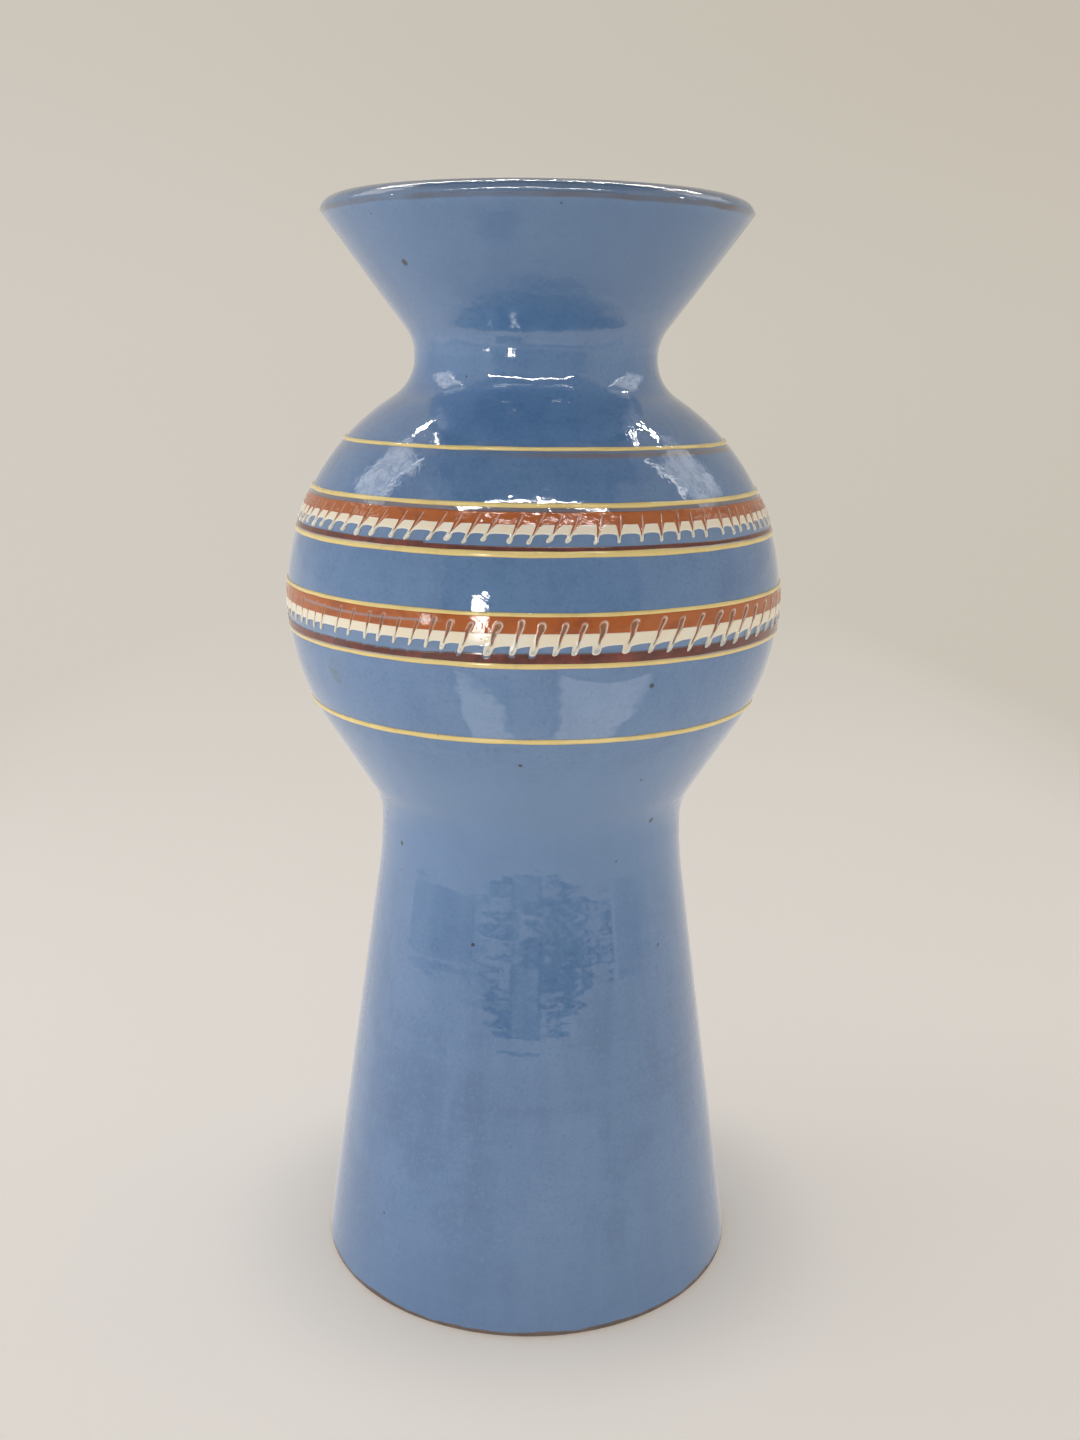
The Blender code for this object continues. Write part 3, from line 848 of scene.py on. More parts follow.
class Look:
    """A node tree under construction."""

    def __init__(self, tree):
        self.tree = tree
        tree.nodes.clear()

    def node(self, kind, settings=None, sockets=None):
        """Adds a node: its settings first, then the values or links of its sockets."""
        made = self.tree.nodes.new(kind)
        for key, value in (settings or {}).items():
            setattr(made, key, value)
        for key, value in (sockets or {}).items():
            if isinstance(value, Value):
                self.tree.links.new(value.socket, made.inputs[key])
            else:
                made.inputs[key].default_value = value
        return made

    def outputs(self, made, *keys):
        return [Value(self, made.outputs[key]) for key in keys]

    def value(self, kind, settings=None, sockets=None, output=0):
        """One output of a new node."""
        return self.outputs(self.node(kind, settings, sockets), output)[0]

    def math(self, operation, *values, clamp=False):
        settings = {"operation": operation, "use_clamp": clamp}
        return self.value("ShaderNodeMath", settings, dict(enumerate(values)))

    def clamp(self, value):
        return self.math("ADD", value, 0.0, clamp=True)

    def ramp(self, value, low, high):
        """0 to 1 as a value goes from low to high, smoothly. With low over high it falls instead."""
        sockets = {"Value": value, "From Min": low, "From Max": high}
        return self.value("ShaderNodeMapRange", {"interpolation_type": "SMOOTHSTEP"}, sockets)

    def window(self, value, start, full, falls, ends):
        """0 to 1 as a value goes from start to full, and back to 0 from where it falls to where it ends."""
        return self.ramp(value, start, full) * self.ramp(value, ends, falls)

    def line(self, value, centre, width, core=0.0):
        """1 within a core about a centre, falling to 0 a width away on both sides."""
        return self.ramp(abs(value - centre), width, core)

    def mix(self, factor, first, second, blend="MIX"):
        """Blends two colours, which are the Mix node's inputs 6 and 7 and its output 2."""
        first, second = [c if isinstance(c, Value) else (*c, 1.0) for c in (first, second)]
        settings = {"data_type": "RGBA", "blend_type": blend}
        return self.value("ShaderNodeMix", settings, {0: factor, 6: first, 7: second}, 2)

    def layers(self, shade, *layers):
        """Lays colours over a colour one after the other, each in its own amount."""
        for amount, over in layers:
            shade = self.mix(amount, shade, over)
        return shade

    def scale(self, shade, by):
        """A colour made brighter or darker by a value."""
        sockets = {0: shade if isinstance(shade, Value) else tuple(shade), "Scale": by}
        return self.value("ShaderNodeVectorMath", {"operation": "SCALE"}, sockets)

    def place(self):
        return self.value("ShaderNodeTexCoord", output="Object")

    def split(self, vector):
        return self.outputs(self.node("ShaderNodeSeparateXYZ", None, {0: vector}), 0, 1, 2)

    def stretch(self, vector, by):
        """Scales a vector, so that a pattern laid on it is drawn out."""
        return self.value("ShaderNodeVectorMath", {"operation": "MULTIPLY"}, {0: vector, 1: by})

    def noise(self, vector, scale, detail=2.0, rough=0.5, twist=0.0, drawn=None):
        """Soft noise of about 0 to 1. Drawn says how fine it is along each axis."""
        vector = self.stretch(vector, drawn) if drawn else vector
        sockets = {"Vector": vector, "Scale": scale, "Detail": detail, "Roughness": rough, "Distortion": twist}
        return self.value("ShaderNodeTexNoise", None, sockets)

    def specks(self, vector, scale, size, share):
        """Round specks in some cells of a scatter: 1 in a speck's middle."""
        cells = self.node("ShaderNodeTexVoronoi", None, {"Vector": vector, "Scale": scale})
        distance, tag = self.outputs(cells, "Distance", "Color")
        picked = self.math("GREATER_THAN", self.split(tag)[0], 1 - share)
        return self.ramp(distance, size, size * 0.45) * picked

    def spot(self, place, centre, radius):
        """1 within a radius of a point, fading out over as much again."""
        apart = self.value("ShaderNodeVectorMath", {"operation": "DISTANCE"}, {0: place, 1: centre}, "Value")
        return self.ramp(apart, radius * 2, radius)

    def mark(self, name):
        return self.value("ShaderNodeAttribute", {"attribute_name": name}, output="Fac")

    def glow(self, shade, strength=1.0):
        return self.value("ShaderNodeEmission", None, {"Color": shade, "Strength": strength})

    def blend(self, factor, first, second):
        """Blends two shaders."""
        return self.value("ShaderNodeMixShader", None, {0: factor, 1: first, 2: second})

    def surface(self, shader, kind="ShaderNodeOutputMaterial"):
        self.node(kind, None, {"Surface": shader})


def new_look(name):
    """A new material, and the look that is built in it."""
    material = bpy.data.materials.new(name)
    material.use_nodes = True
    return material, Look(material.node_tree)


def times(shade, by):
    return tuple(c * by for c in shade)


def glazed(name, paint, vase, bend, coat=0.0):
    """A glossy glazed material. The paint function gives its colour, its roughness and its bumps in millimetres."""
    material, look = new_look(name)
    shade, rough, height = paint(look, look.place(), vase)
    bump = look.value("ShaderNodeBump", None, {"Height": height, "Distance": MM, "Strength": 1.0})
    sockets = {"Base Color": shade, "Roughness": rough, "Normal": bump, "IOR": bend}
    sockets |= {"Coat Weight": coat, "Coat Roughness": 0.03, "Coat IOR": 1.5}
    look.surface(look.value("ShaderNodeBsdfPrincipled", None, sockets))
    return material


def mottled_glaze(look, place, colours, cloud, grain):
    """Glaze that has run thin in places and pooled in others: in clouds and streaks, blotches, grain and fine grain."""
    streaks = look.noise(place, 135.0, drawn=(1.0, 1.0, 0.07))
    bands = look.noise(place, 180.0, 2.0, 0.6, drawn=(0.05, 0.05, 1.0))
    tone = cloud * 0.55 + streaks * 0.25 + bands * 0.2
    blotch = look.noise(place, 52.0, 3.0, 0.6, 0.5, drawn=(1.0, 1.0, 0.55))
    fine = look.noise(place, 900.0, 2.0, 0.6)
    shade = colours.glaze
    for pattern, pale, deep in (
        (tone, (0.42, 0.68, 1.0), (0.50, 0.34, 1.0)),
        (blotch, (0.50, 0.72, 0.65), (0.50, 0.28, 0.65)),
        (grain, (0.56, 0.72, 0.36), (0.44, 0.30, 0.33)),
        (fine, (0.52, 0.72, 0.50), (0.48, 0.28, 0.50)),
    ):
        for (start, full, weight), over in ((pale, colours.pale_glaze_and_light), (deep, colours.deep_glaze_and_shade)):
            shade = look.mix(look.ramp(pattern, start, full) * weight, shade, over)
    return shade


def glaze_ripple(look, place):
    """Uneven glaze: fine orange peel, soft dimples and drawn-out finger marks, in millimetres."""
    dimples = look.noise(place, 80.0, 2.0, 0.45, 0.4, drawn=(1.0, 1.0, 1.3))
    blots = look.noise(place, 210.0, 2.0, 0.55, 0.8)
    peel = look.noise(place, 700.0)
    drawn = look.noise(place, 380.0, drawn=(1.0, 1.0, 0.22))
    return dimples * 0.17 + blots * 0.105 + peel * 0.016 + drawn * 0.010


def glaze_holes(look, place, outline):
    """Pinholes all over, and the burnt specks."""
    holes = look.specks(place, 72.0, 0.050, 0.05) + look.specks(place, 150.0, 0.085, 0.05)
    for angle, height, radius in SPECKS:
        reach = outline.radius_at(height)
        holes = holes + look.spot(place, round_point(angle, reach, height), radius)
    return look.clamp(holes)


def milky_and_lit_ribbons(look, z, vase):
    """Glaze between the cream and the brown of each band, partly clouded by slip and partly painted light that lifts
    the shade between the raised stripes.
    """
    upper, lower = band_edges(vase.upper), band_edges(vase.lower)
    ribbons = []
    for edges, end in ((upper, upper.brown), (lower, lower.ground_below - 0.0040)):
        low, high = (vase.outline.height_on_ball(along) for along in (end, edges.ground_below + 0.0012))
        ribbons.append(look.window(z, low - 0.0004, low, high, high + 0.0004))
    return ribbons[0] * 0.7 + ribbons[1]


def paint_blue_glaze(look, place, vase):
    """Blue glaze: mottled, thin at the rim, stopped short of the foot and washed grey beside the slip."""
    outline, colours = vase.outline, vase.colours
    neck, edge = outline.neck_height, outline.funnel_edge
    x, y, z = look.split(place)
    cloud = look.noise(place, 17.0, 3.0, 0.55, 0.3)
    grain = look.noise(place, 260.0, 3.0, 0.6)
    uneven = look.noise(place, 70.0, 3.0, 0.6)

    greenish = look.ramp(look.noise(place, 46.0, 3.0, 0.6, 0.6, drawn=(1.0, 1.0, 1.8)), 0.70, 0.78)
    stained = look.spot(look.stretch(place, STAIN_STRETCH), tuple(Vector(STAIN) * Vector(STAIN_STRETCH)), 0.0022)
    waist = look.window(z, 0.118, 0.150, 0.176, 0.196)
    funnel = look.window(z, neck + 0.002, neck + 0.022, edge - 0.004, edge + 0.001)

    shoulder = outline.height_on_ball(outline.shape.shoulder_line - 0.0021)
    hairline = look.line(z + cloud * 0.0008, shoulder + 0.0004, 0.0013) * (look.ramp(x, -0.022, 0.020) * 0.80 + 0.1)
    band = band_edges(vase.upper)
    gap_top, gap_low = outline.height_on_ball(band.ground_above), outline.height_on_ball(band.terracotta)
    wash = look.window(z, gap_low - 0.0004, gap_low, gap_top - 0.0002, gap_top + 0.0002)

    lip = look.ramp(z, edge - 0.0004, edge + 0.0008)
    broken = look.line(z + (uneven - 0.5) * 0.0009, edge - 0.0006, 0.0010, 0.0004)
    outside = look.ramp(look.math("SQRT", x * x + y * y), 0.062, 0.064)
    patchy = look.ramp(look.noise(place, 24.0), 0.36, 0.58)
    worn = broken * outside * (patchy * 0.45 + look.ramp(x, -0.045, 0.0) * 0.2 + 0.25)

    holes = glaze_holes(look, place, outline)
    stop_line = (uneven - 0.5) * 0.0022 + (look.noise(place, 300.0) - 0.5) * 0.0007
    bare = look.ramp(z + stop_line, 0.0021, 0.0016)
    clay = look.mix(look.ramp(grain, 0.35, 0.70), colours.bare_clay, times(colours.bare_clay, 0.62))

    shade = look.layers(
        mottled_glaze(look, place, colours, cloud, grain),
        (greenish * 0.55, colours.stain),
        (stained * look.ramp(grain, 0.36, 0.62) * 0.75, colours.stain),
        # Painted light: the glaze is made paler round the waist and the cone under the ball.
        (waist * 0.75, colours.pale_glaze_and_light),
        # Darker towards the foot.
        (look.ramp(z, 0.050, 0.006) * 0.55, colours.deep_glaze_and_shade),
        # Painted shade: the funnel is darkened, more on its right.
        (funnel * (look.ramp(x, -0.02, 0.045) * 0.35 + 0.55), colours.deep_glaze_and_shade),
        # Partly painted light: paler glaze between the raised stripes of each band.
        (milky_and_lit_ribbons(look, z, vase) * 0.55, colours.milky),
        (look.clamp(hairline + wash * 0.8), colours.wash),
        (lip * 0.6, colours.thin_rim),
        (look.clamp(worn), colours.rim_break),
        (holes * 0.95, colours.pinhole),
        (bare, clay),
    )
    rough = look.clamp(0.03 + grain * 0.03 + funnel * 0.16 + holes * 0.06 + worn * 0.02 + bare * 0.68)
    calm = look.ramp(z, 0.120, 0.172) * 0.75 + 0.25
    height = glaze_ripple(look, place) * (lip * 1.3 + calm) - holes * 0.02 + bare * grain * 0.25 - bare * 0.12
    return shade, rough, height


def paint_yellow(look, place, vase):
    """Yellow slip: thin at its edges and where it has flowed away, greyed where it meets the band as painted
    reflection.
    """
    colours = vase.colours
    flow = look.noise(place, 130.0, 3.0, 0.55)
    thin = look.clamp(look.ramp(flow, 0.52, 0.75) * 0.5 + look.ramp(look.mark("edge"), 0.72, 1.0) * 0.65)
    shade = look.layers(
        colours.yellow,
        (thin, colours.yellow_thin),
        (look.ramp(flow, 0.46, 0.30) * 0.45, times(colours.yellow, 1.18)),
        (look.specks(place, 260.0, 0.10, 0.04) * 0.5, colours.wash),
        # Painted reflection along the top of the lower lines.
        (look.mark("wash"), colours.smear_and_reflection),
    )
    return shade, 0.12 + flow * 0.10, flow * 0.05 + look.noise(place, 700.0, 1.0) * 0.008


def paint_terracotta(look, place, vase):
    """Terracotta slip: pooled and pitted, with the comb's grooves and smears in it, and burrs painted pale as a
    highlight.
    """
    colours = vase.colours
    flow = look.noise(place, 85.0, 3.0, 0.6, drawn=(1.0, 1.0, 2.0))
    grain = look.noise(place, 420.0, 3.0, 0.6)
    mixed = look.mix(look.ramp(grain, 0.4, 0.6) * 0.5, colours.groove, colours.terracotta)
    shade = look.layers(
        colours.terracotta,
        (look.ramp(flow, 0.50, 0.36) * 0.7, colours.terracotta_deep),
        (look.ramp(grain, 0.5, 0.75) * 0.35, times(colours.terracotta, 1.3)),
        (look.mark("edge") * 0.65, colours.terracotta_deep),
        (look.mark("groove") * 0.85, mixed),
        # Painted highlight on the burrs.
        (look.clamp(look.mark("burr") * 1.15) * look.ramp(grain, 0.28, 0.46), colours.burr),
        (look.mark("streak") * 0.9, colours.smear_and_reflection),
    )
    pits = look.noise(place, 380.0, 2.0, 0.5, 0.5) * 0.30 + look.noise(place, 900.0, 2.0, 0.6) * 0.04
    return shade, 0.05 + grain * 0.05, flow * 0.06 + grain * 0.02 + pits * look.mark("pitted")


def paint_cream(look, place, vase):
    """Cream slip: white where it is thick, blue where the glaze shows through a drop, mixed in the grooves."""
    colours = vase.colours
    flow = look.noise(place, 110.0, 3.0, 0.55)
    grain = look.noise(place, 480.0, 3.0, 0.6)
    shade = look.layers(
        colours.cream,
        (look.ramp(flow, 0.4, 0.7) * 0.5, colours.cream_white),
        (look.mark("edge") * 0.7, colours.cream_white),
        (look.mark("drop") * look.ramp(flow, 0.25, 0.6) * 0.75, colours.drop),
        (look.mark("groove") * 0.8, look.mix(look.ramp(grain, 0.42, 0.62), colours.groove, colours.drop)),
        (look.specks(place, 210.0, 0.10, 0.05) * 0.7, colours.groove),
    )
    return shade, 0.11 + flow * 0.07, flow * 0.05 + grain * 0.010


def paint_brown(look, place, vase):
    """Brown slip: paler where it is thin, with a milky upper edge."""
    colours = vase.colours
    flow = look.noise(place, 100.0, 3.0, 0.6)
    grain = look.noise(place, 420.0, 2.0, 0.6)
    shade = look.layers(
        colours.brown,
        (look.ramp(flow, 0.42, 0.70), times(colours.brown, 1.9)),
        (look.ramp(grain, 0.5, 0.35) * 0.5, times(colours.brown, 0.5)),
        (look.mark("edge") * 0.7, colours.halo),
    )
    return shade, 0.11 + grain * 0.08, flow * 0.05 + grain * 0.010


# ---------------------------------------------------------------- operators


class Vase:
    """The outline, the bands and the colours in use."""

    def __init__(self, scene):
        self.outline = Outline(scene.vase_shape)
        self.upper, self.lower, self.colours = scene.vase_upper_band, scene.vase_lower_band, scene.vase_colours


def put_on(piece, material):
    """Gives a piece its look, puts it on the root body and hides the node that it stands for."""
    piece.data.materials.append(material)
    node = piece.name.removesuffix("_look")
    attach(piece, "root")
    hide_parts(node)


class VASE_OT_sections(bpy.types.Operator):
    """Turns the pedestal, the ball and the funnel and glazes them blue"""

    bl_idname = "vase.sections"
    bl_label = "Thrown sections"

    def execute(self, context):
        vase = Vase(context.scene)
        outline = vase.outline
        glaze = glazed("blue glaze", paint_blue_glaze, vase, GLAZE_BEND, coat=0.25)
        for name, profile, closed in (
            ("pedestal", pedestal_profile(outline), False),
            ("globe", globe_profile(outline), True),
            ("funnel", funnel_profile(outline), True),
        ):
            put_on(turn(name + "_look", outline, profile, closed), glaze)
        return {"FINISHED"}


class VASE_OT_lines(bpy.types.Operator):
    """Trails the six yellow slip lines round the ball"""

    bl_idname = "vase.lines"
    bl_label = "Yellow lines"

    def execute(self, context):
        vase = Vase(context.scene)
        shape = vase.outline.shape
        lines = []
        for name, place, width in (
            ("shoulder_line", shape.shoulder_line, shape.line_width),
            ("belly_line", shape.belly_line, shape.belly_width),
        ):
            lines.append((name, place + width / 2, place - width / 2))
        for name, band in (("upper", vase.upper), ("lower", vase.lower)):
            edges = band_edges(band)
            lines.append((f"{name}_band_top_line", edges.top_line, edges.ground_above))
            lines.append((f"{name}_band_base_line", edges.base_line, edges.end))
        yellow = glazed("yellow slip", paint_yellow, vase, SLIP_BEND)
        for index, (name, high, low) in enumerate(lines):
            greyed = LINE_SHEEN if name.endswith("base_line") else 0.0
            made = slip_line(vase.outline, name + "_look", high, low, LINE_SEED + SEED_STEP * index, greyed)
            put_on(made, yellow)
        return {"FINISHED"}


class StripeOperator:
    """Lays one stripe of each feathered band."""

    bend = SLIP_BEND

    def execute(self, context):
        vase = Vase(context.scene)
        material = glazed(f"{self.stripe} slip", self.paint, vase, self.bend)
        for name, feathering in (
            ("upper", UpperFeathering(vase.outline, vase.upper)),
            ("lower", LowerFeathering(vase.outline, vase.lower)),
        ):
            piece = getattr(feathering, self.stripe)(f"{name}_{self.stripe}_stripe_look")
            put_on(piece, material)
        return {"FINISHED"}


class VASE_OT_terracotta(StripeOperator, bpy.types.Operator):
    """Lays the terracotta stripes, with the comb's grooves in them"""

    bl_idname = "vase.terracotta"
    bl_label = "Terracotta stripes"
    stripe = "terracotta"
    bend = 1.72
    paint = staticmethod(paint_terracotta)


class VASE_OT_cream(StripeOperator, bpy.types.Operator):
    """Lays the cream stripes, drawn down by the comb into hooks and legs"""

    bl_idname = "vase.cream"
    bl_label = "Feathered cream stripes"
    stripe = "cream"
    paint = staticmethod(paint_cream)


class VASE_OT_brown(StripeOperator, bpy.types.Operator):
    """Lays the brown stripes at the foot of each band"""

    bl_idname = "vase.brown"
    bl_label = "Brown stripes"
    stripe = "brown"
    paint = staticmethod(paint_brown)


# ---------------------------------------------------------------- stage


def card(name, corners, strength, border=None, soft=(), mottle=0.0, drawn=(11.0, 11.0, 11.0)):
    """Flat cards, four corners each, that only shiny surfaces see.

    With a border strength they blend raggedly into that at their edges: soft gives the shares of the width and height
    over which they do, from the left, right, bottom and top. Mottle is the share of the border strength in patches,
    and drawn says how fine the patches are along each axis.
    """
    mesh = bpy.data.meshes.new(name)
    mesh.from_pydata([Vector(c) for c in corners], [], [tuple(range(i, i + 4)) for i in range(0, len(corners), 4)])
    made = add_object(name, mesh)
    material, look = new_look(name)
    if border is None:
        glow = look.glow((*LAMP_WHITE, 1.0), strength)
    else:
        for mark, values in (("across", (0.0, 1.0, 1.0, 0.0)), ("up", (0.0, 0.0, 1.0, 1.0))):
            kept = mesh.attributes.new(mark, "FLOAT", "POINT")
            kept.data.foreach_set("value", values * (len(corners) // 4))
        rough = look.noise(look.place(), 1.0, 4.0, 0.6, drawn=drawn) - 0.5
        inside = 1 - look.ramp(rough, 0.0, 0.03) * mottle
        across, up = look.mark("across"), look.mark("up")
        for reach, share in zip((across, 1 - across, up, 1 - up), soft):
            if share:
                inside = inside * look.ramp(reach + rough * (share * 2.5), share * 0.25, share * 0.75)
        glow = look.glow(look.mix(inside, times(LAMP_WHITE, border), times(LAMP_WHITE, strength)))
    look.surface(glow)
    mesh.materials.append(material)
    made.visible_camera = made.visible_diffuse = made.visible_shadow = made.visible_transmission = False


def upright(x0, y0, x1, y1, low, high):
    return [(x0, y0, low), (x1, y1, low), (x1, y1, high), (x0, y0, high)]


def level(x0, y0, x1, y1, height):
    return [(x0, y0, height), (x1, y0, height), (x1, y1, height), (x0, y1, height)]


def facing(start, end, count, size):
    """Corners of a row of squares between two points, each turned towards the ball."""
    corners = []
    for share in np.linspace(0.0, 1.0, count):
        centre = Vector(start).lerp(Vector(end), share)
        away = (centre - LAMP_AIM).normalized()
        side = away.cross(Vector((0.0, 0.0, 1.0))).normalized() * size / 2
        rise = side.cross(away).normalized() * size / 2
        corners += [centre - side - rise, centre + side - rise, centre + side + rise, centre - side + rise]
    return corners


def panel_lamp(name, place, aim, size, power, shade):
    """A square lamp turned towards a point, which leaves no highlight."""
    lamp = bpy.data.lights.new(name, "AREA")
    lamp.shape, lamp.size, lamp.energy, lamp.color = "SQUARE", size, power, shade
    made = add_object(name, lamp)
    made.location = place
    made.rotation_euler = (Vector(aim) - Vector(place)).to_track_quat("-Z", "Y").to_euler()
    made.visible_glossy = False


def side_tint(look, shade, side):
    """A background colour, cooler and paler on the left than on the right."""
    return look.mix(1.0, look.mix(side, (1.02, 1.03, 1.035), (0.935, 0.93, 0.895)), shade, "MULTIPLY")


class VASE_OT_stage(bpy.types.Operator):
    """Sets the pale floor, the background, the lamps and the camera"""

    bl_idname = "vase.stage"
    bl_label = "Stage"

    def execute(self, context):
        stage = context.scene.vase_stage
        self.floor(stage)
        self.background(stage)
        self.side_panels(stage)
        self.open_front()
        self.highlights()
        self.camera(stage)
        context.scene.view_settings.view_transform = "Standard"
        return {"FINISHED"}

    def floor(self, stage):
        """A wide sheet of pale paper that fades into the background."""
        mesh = bpy.data.meshes.new("floor")
        mesh.from_pydata(level(-FLOOR_REACH, -FLOOR_REACH, FLOOR_REACH, FLOOR_REACH, 0.0), [], [(0, 1, 2, 3)])
        made = add_object("floor", mesh)
        material, look = new_look("pale paper")
        place = look.place()
        x, y, _ = look.split(place)
        away = look.math("SQRT", x * x + y * y)
        eye = look.value("ShaderNodeLightPath", output="Is Camera Ray")
        tone = look.mix(look.noise(place, 9.0, 3.0, 0.5), times(stage.floor, 0.985), times(stage.floor, 1.015))
        sheet = look.value("ShaderNodeBsdfDiffuse", None, {"Color": tone})
        # Painted shadow: the paper's own glow is dimmed round the foot.
        shadow = look.ramp(away, 0.118, 0.068)
        light = (1 - shadow * 0.34) * eye * stage.floor_glow + (1 - eye) * stage.floor_bounce
        lit = look.glow(look.scale(stage.floor, light))
        paper = look.value("ShaderNodeAddShader", None, {0: sheet, 1: lit})
        tint = side_tint(look, stage.horizon, look.ramp(x / away, *SIDES))
        distance = look.glow(look.scale(tint, (1 - eye) * 0.15 + 1))
        aside = look.ramp(abs(x), 0.32, 0.58) * eye
        look.surface(look.blend(look.clamp(look.ramp(away, 0.45, 1.6) + aside), paper, distance))
        mesh.materials.append(material)

    def background(self, stage):
        """The background that the eye and the glaze see, and an even fill light for everything else."""
        world = bpy.data.worlds.new("studio")
        bpy.context.scene.world = world
        world.use_nodes = True
        look = Look(world.node_tree)
        across, _, rise = look.split(look.value("ShaderNodeTexCoord", output="Generated"))
        side = look.ramp(across, *SIDES)
        shown = side_tint(look, look.mix(look.ramp(rise, 0.0, 0.22), stage.horizon, stage.sky), side)
        picture = look.value("ShaderNodeBackground", None, {"Color": shown})
        strength = look.ramp(rise, 0.15, 0.85) * (stage.fill_above - stage.fill) + stage.fill
        strength = strength * (1.08 - side * 0.26)
        fill = look.value("ShaderNodeBackground", None, {"Color": look.scale((0.985, 0.99, 1.0), strength)})
        path = look.node("ShaderNodeLightPath")
        eye, mirrored, passed = look.outputs(path, "Is Camera Ray", "Is Glossy Ray", "Is Transmission Ray")
        look.surface(look.blend(look.clamp(eye + mirrored + passed), fill, picture), "ShaderNodeOutputWorld")

    def side_panels(self, stage):
        """Two soft panels with a narrow strip in front of each, and the light of a wall on the left."""
        for side, place, power, glow in (
            ("left", (-0.42, 0.06, 0.58), 0.45, 2.4),
            ("right", (0.42, 0.10, 0.56), 0.42, 1.9),
        ):
            panel_lamp(f"{side} panel", place, (0.0, 0.0, 0.2), 0.24, stage.panel_light * power, (1.0, 0.975, 0.94))
            face = facing(place, place, 1, 0.26)
            card(f"{side} panel face", face, glow, 0.45, (0.20, 0.20, 0.20, 0.20), 0.50, (40.0, 40.0, 18.0))
        for side, sign in (("left", -1), ("right", 1)):
            low, high = sign * 0.36, sign * 0.34
            strip = [(low, -0.03, 0.46), (low, -0.005, 0.46), (high, -0.005, 0.70), (high, -0.03, 0.70)]
            card(f"{side} strip", strip, 4.2, 0.5, (0.3, 0.3, 0.12, 0.12), 0.45, (44.0, 44.0, 22.0))
        wall = (-0.85, -0.12, 0.12)
        panel_lamp("left wall", wall, (0.0, 0.0, 0.14), 0.75, stage.wall_light, (0.88, 0.97, 1.10))

    def open_front(self):
        """Dark cards for the open front and the opening overhead, with the pale blocks and sheets seen in them."""
        wide, top = (6.0, 6.0, 100.0), 0.095
        base, far = (0.0, 0.0, 0.07, 0.0), (0.0, 0.6, 0.07, 0.0)
        card("open front", upright(-0.446, -0.56, 0.60, -0.56, 0.0, top), 0.20, 0.92, (0.05, 0.0, 0.12, 0.0), 0.8, wide)
        card("open right", upright(0.60, -0.56, 0.60, -0.34, 0.0, top), 0.22, 0.85, (0.0, 0.25, 0.07, 0.0), 0.8, wide)
        card("left front", upright(-0.60, -0.56, -0.446, -0.56, 0.0, top), 0.50, 0.70, base, 0.6, wide)
        card("left side", upright(-0.60, -0.56, -0.60, 0.0, 0.0, top), 0.50, 0.70, far, 0.6, wide)
        card("right side", upright(0.60, -0.34, 0.60, 0.0, 0.0, top), 0.50, 0.70, far, 0.6, wide)
        block = upright(-0.115, -0.555, 0.067, -0.555, 0.010, 0.062)
        card("block in the opening", block, 0.60, 0.24, (0.1, 0.1, 0.15, 0.15), 0.5, wide)
        block = upright(-0.46, -0.556, -0.10, -0.556, 0.034, 0.070)
        card("low block", block, 0.92, 0.24, (0.1, 0.15, 0.3, 0.3), 0.3, wide)
        card("sill", upright(-0.60, -0.565, 0.60, -0.565, 0.09, 0.17), 0.52)
        card("room in front", upright(-0.46, -0.57, 0.61, -0.57, 0.17, 0.80), 0.36)
        card("open top", level(-0.32, -0.07, 0.32, 0.21, 0.76), 0.05, 0.30, (0.12, 0.12, 0.12, 0.12))
        card("dim top", level(-0.46, -0.60, 0.46, -0.02, 0.77), 0.24, 0.50, (0.15, 0.15, 0.15, 0.15))
        card("screen", upright(-0.046, -0.078, -0.015, -0.089, 0.260, 0.279), 0.36)
        for side, low, high in (("left", (-24, -7), (-16, -3.5)), ("right", (6, 34), (4, 28))):
            sheet = [round_point(angle, 0.100, 0.138) for angle in low]
            sheet += [round_point(angle, 0.0762, 0.2290) for angle in reversed(high)]
            card(f"{side} sheet", sheet, 1.45, 0.70, (0.25, 0.25, 0.25, 0.25), 0.1, (60.0, 60.0, 60.0))

    def highlights(self):
        """Rows of small lamps overhead and two windows."""
        for side, start, end, count, size, strength in (
            ("front", (-0.40, -0.378, 0.68), (0.30, -0.378, 0.68), 62, 0.0064, 130.0),
            ("back", (-0.40, 0.17, 0.70), (0.40, 0.17, 0.70), 72, 0.0055, 220.0),
            ("left", (-0.27, 0.00, 0.66), (-0.25, 0.07, 0.66), 6, 0.006, 60.0),
            ("right", (0.27, 0.02, 0.66), (0.25, 0.09, 0.66), 6, 0.006, 60.0),
        ):
            card(f"{side} lamps", facing(start, end, count, size), strength)
        card("window", upright(-0.245, -0.55, -0.19, -0.55, 0.125, 0.31), 18.0)
        card("far window", upright(-0.53, -0.50, -0.47, -0.50, 0.16, 0.22), 8.0)

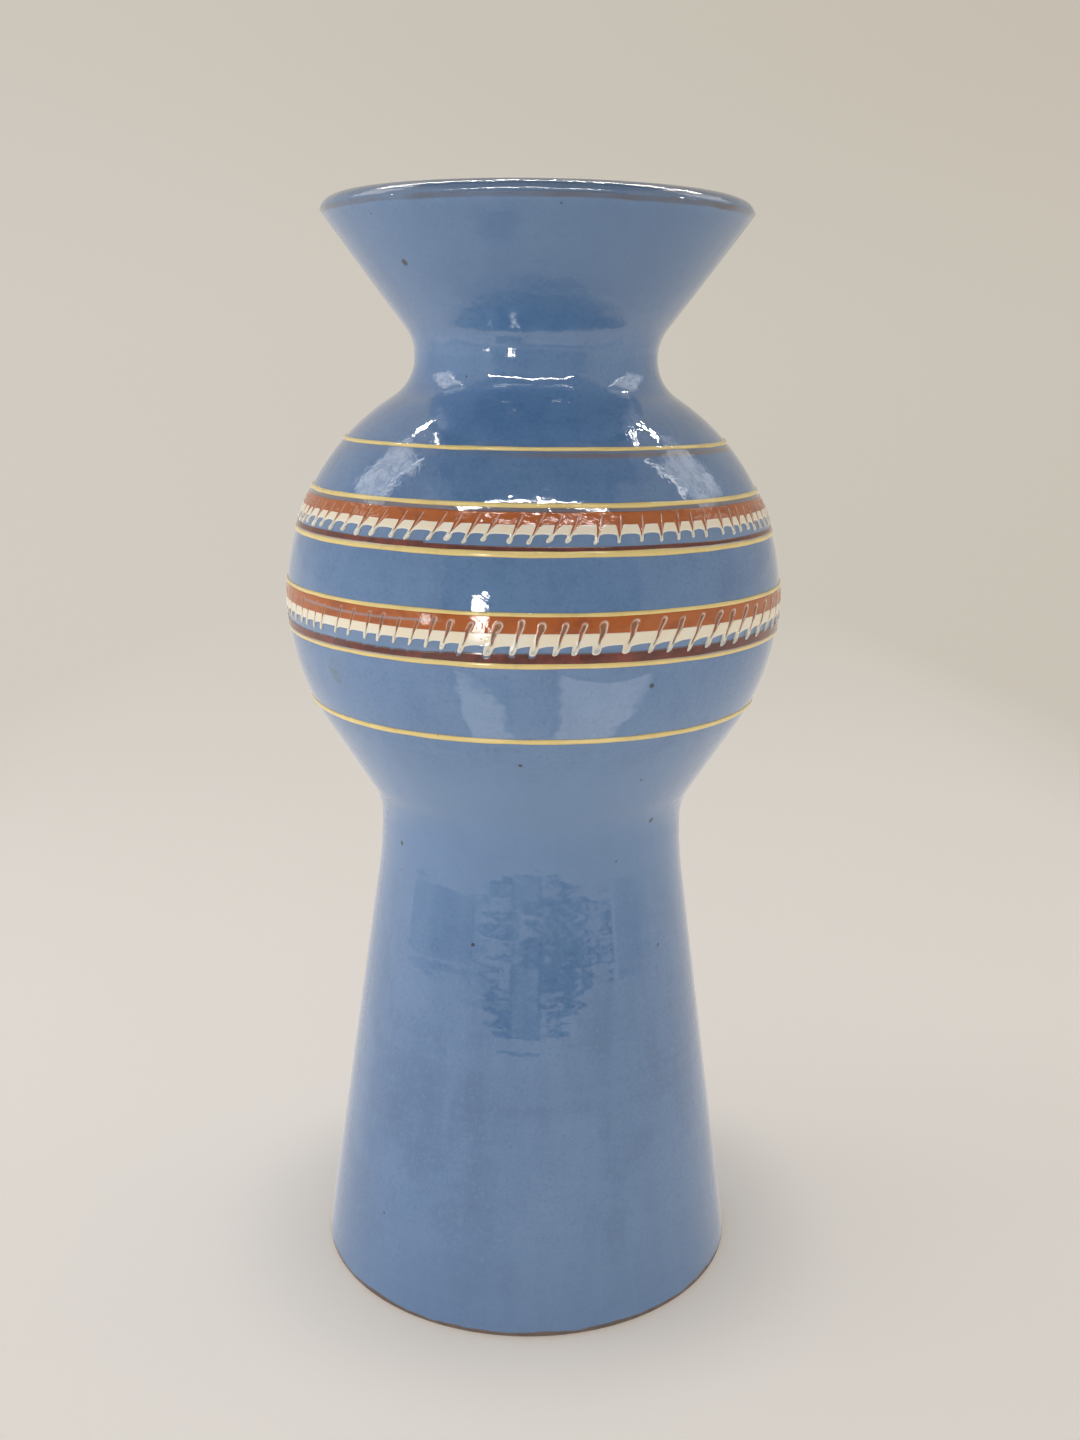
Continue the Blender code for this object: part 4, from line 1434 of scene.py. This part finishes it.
    def camera(self, stage):
        """The camera, at the photo's height, tilt and slight roll."""
        cosine, sine = math.cos(stage.pitch), math.sin(stage.pitch)
        forward = Vector((math.sin(stage.yaw) * cosine, math.cos(stage.yaw) * cosine, -sine))
        across = Vector((math.cos(stage.yaw), -math.sin(stage.yaw), 0.0))
        rise = across.cross(forward)
        right = across * math.cos(stage.roll) + rise * math.sin(stage.roll)
        up = rise * math.cos(stage.roll) - across * math.sin(stage.roll)
        camera = bpy.data.cameras.new("camera")
        camera.lens, camera.sensor_width, camera.clip_start = stage.lens, 36.0, 0.01
        made = add_object("camera", camera)
        made.matrix_world = Matrix.Translation(stage.camera_place) @ Matrix((right, up, -forward)).transposed().to_4x4()
        bpy.context.scene.camera = made


class VASE_PT_panel(bpy.types.Panel):
    """Lists the vase's pieces and settings"""

    bl_idname = "VASE_PT_panel"
    bl_label = "Slip-banded vase"
    bl_space_type = "VIEW_3D"
    bl_region_type = "UI"
    bl_category = "Vase"

    def draw(self, context):
        for operator in OPERATORS:
            self.layout.operator(operator.bl_idname)
        for name in GROUPS:
            box = self.layout.box()
            group = getattr(context.scene, name)
            for key in group.__annotations__:
                box.prop(group, key)


OPERATORS = (VASE_OT_sections, VASE_OT_lines, VASE_OT_terracotta, VASE_OT_cream, VASE_OT_brown, VASE_OT_stage)
GROUPS = {
    "vase_shape": VaseShape,
    "vase_upper_band": UpperBand,
    "vase_lower_band": LowerBand,
    "vase_colours": VaseColours,
    "vase_stage": StageSettings,
}


def register():
    for made in (*GROUPS.values(), *OPERATORS, VASE_PT_panel):
        bpy.utils.register_class(made)
    for name, group in GROUPS.items():
        setattr(bpy.types.Scene, name, PointerProperty(type=group))


def unregister():
    for name in GROUPS:
        delattr(bpy.types.Scene, name)
    for made in (VASE_PT_panel, *OPERATORS, *GROUPS.values()):
        bpy.utils.unregister_class(made)


def main():
    register()
    for old in list(bpy.data.objects):
        if old.type in ("CAMERA", "LIGHT") or old.name == "Cube":
            bpy.data.objects.remove(old, do_unlink=True)
    bpy.ops.vase.sections()
    bpy.ops.vase.lines()
    bpy.ops.vase.terracotta()
    bpy.ops.vase.cream()
    bpy.ops.vase.brown()
    bpy.ops.vase.stage()


if __name__ == "__main__":
    main()
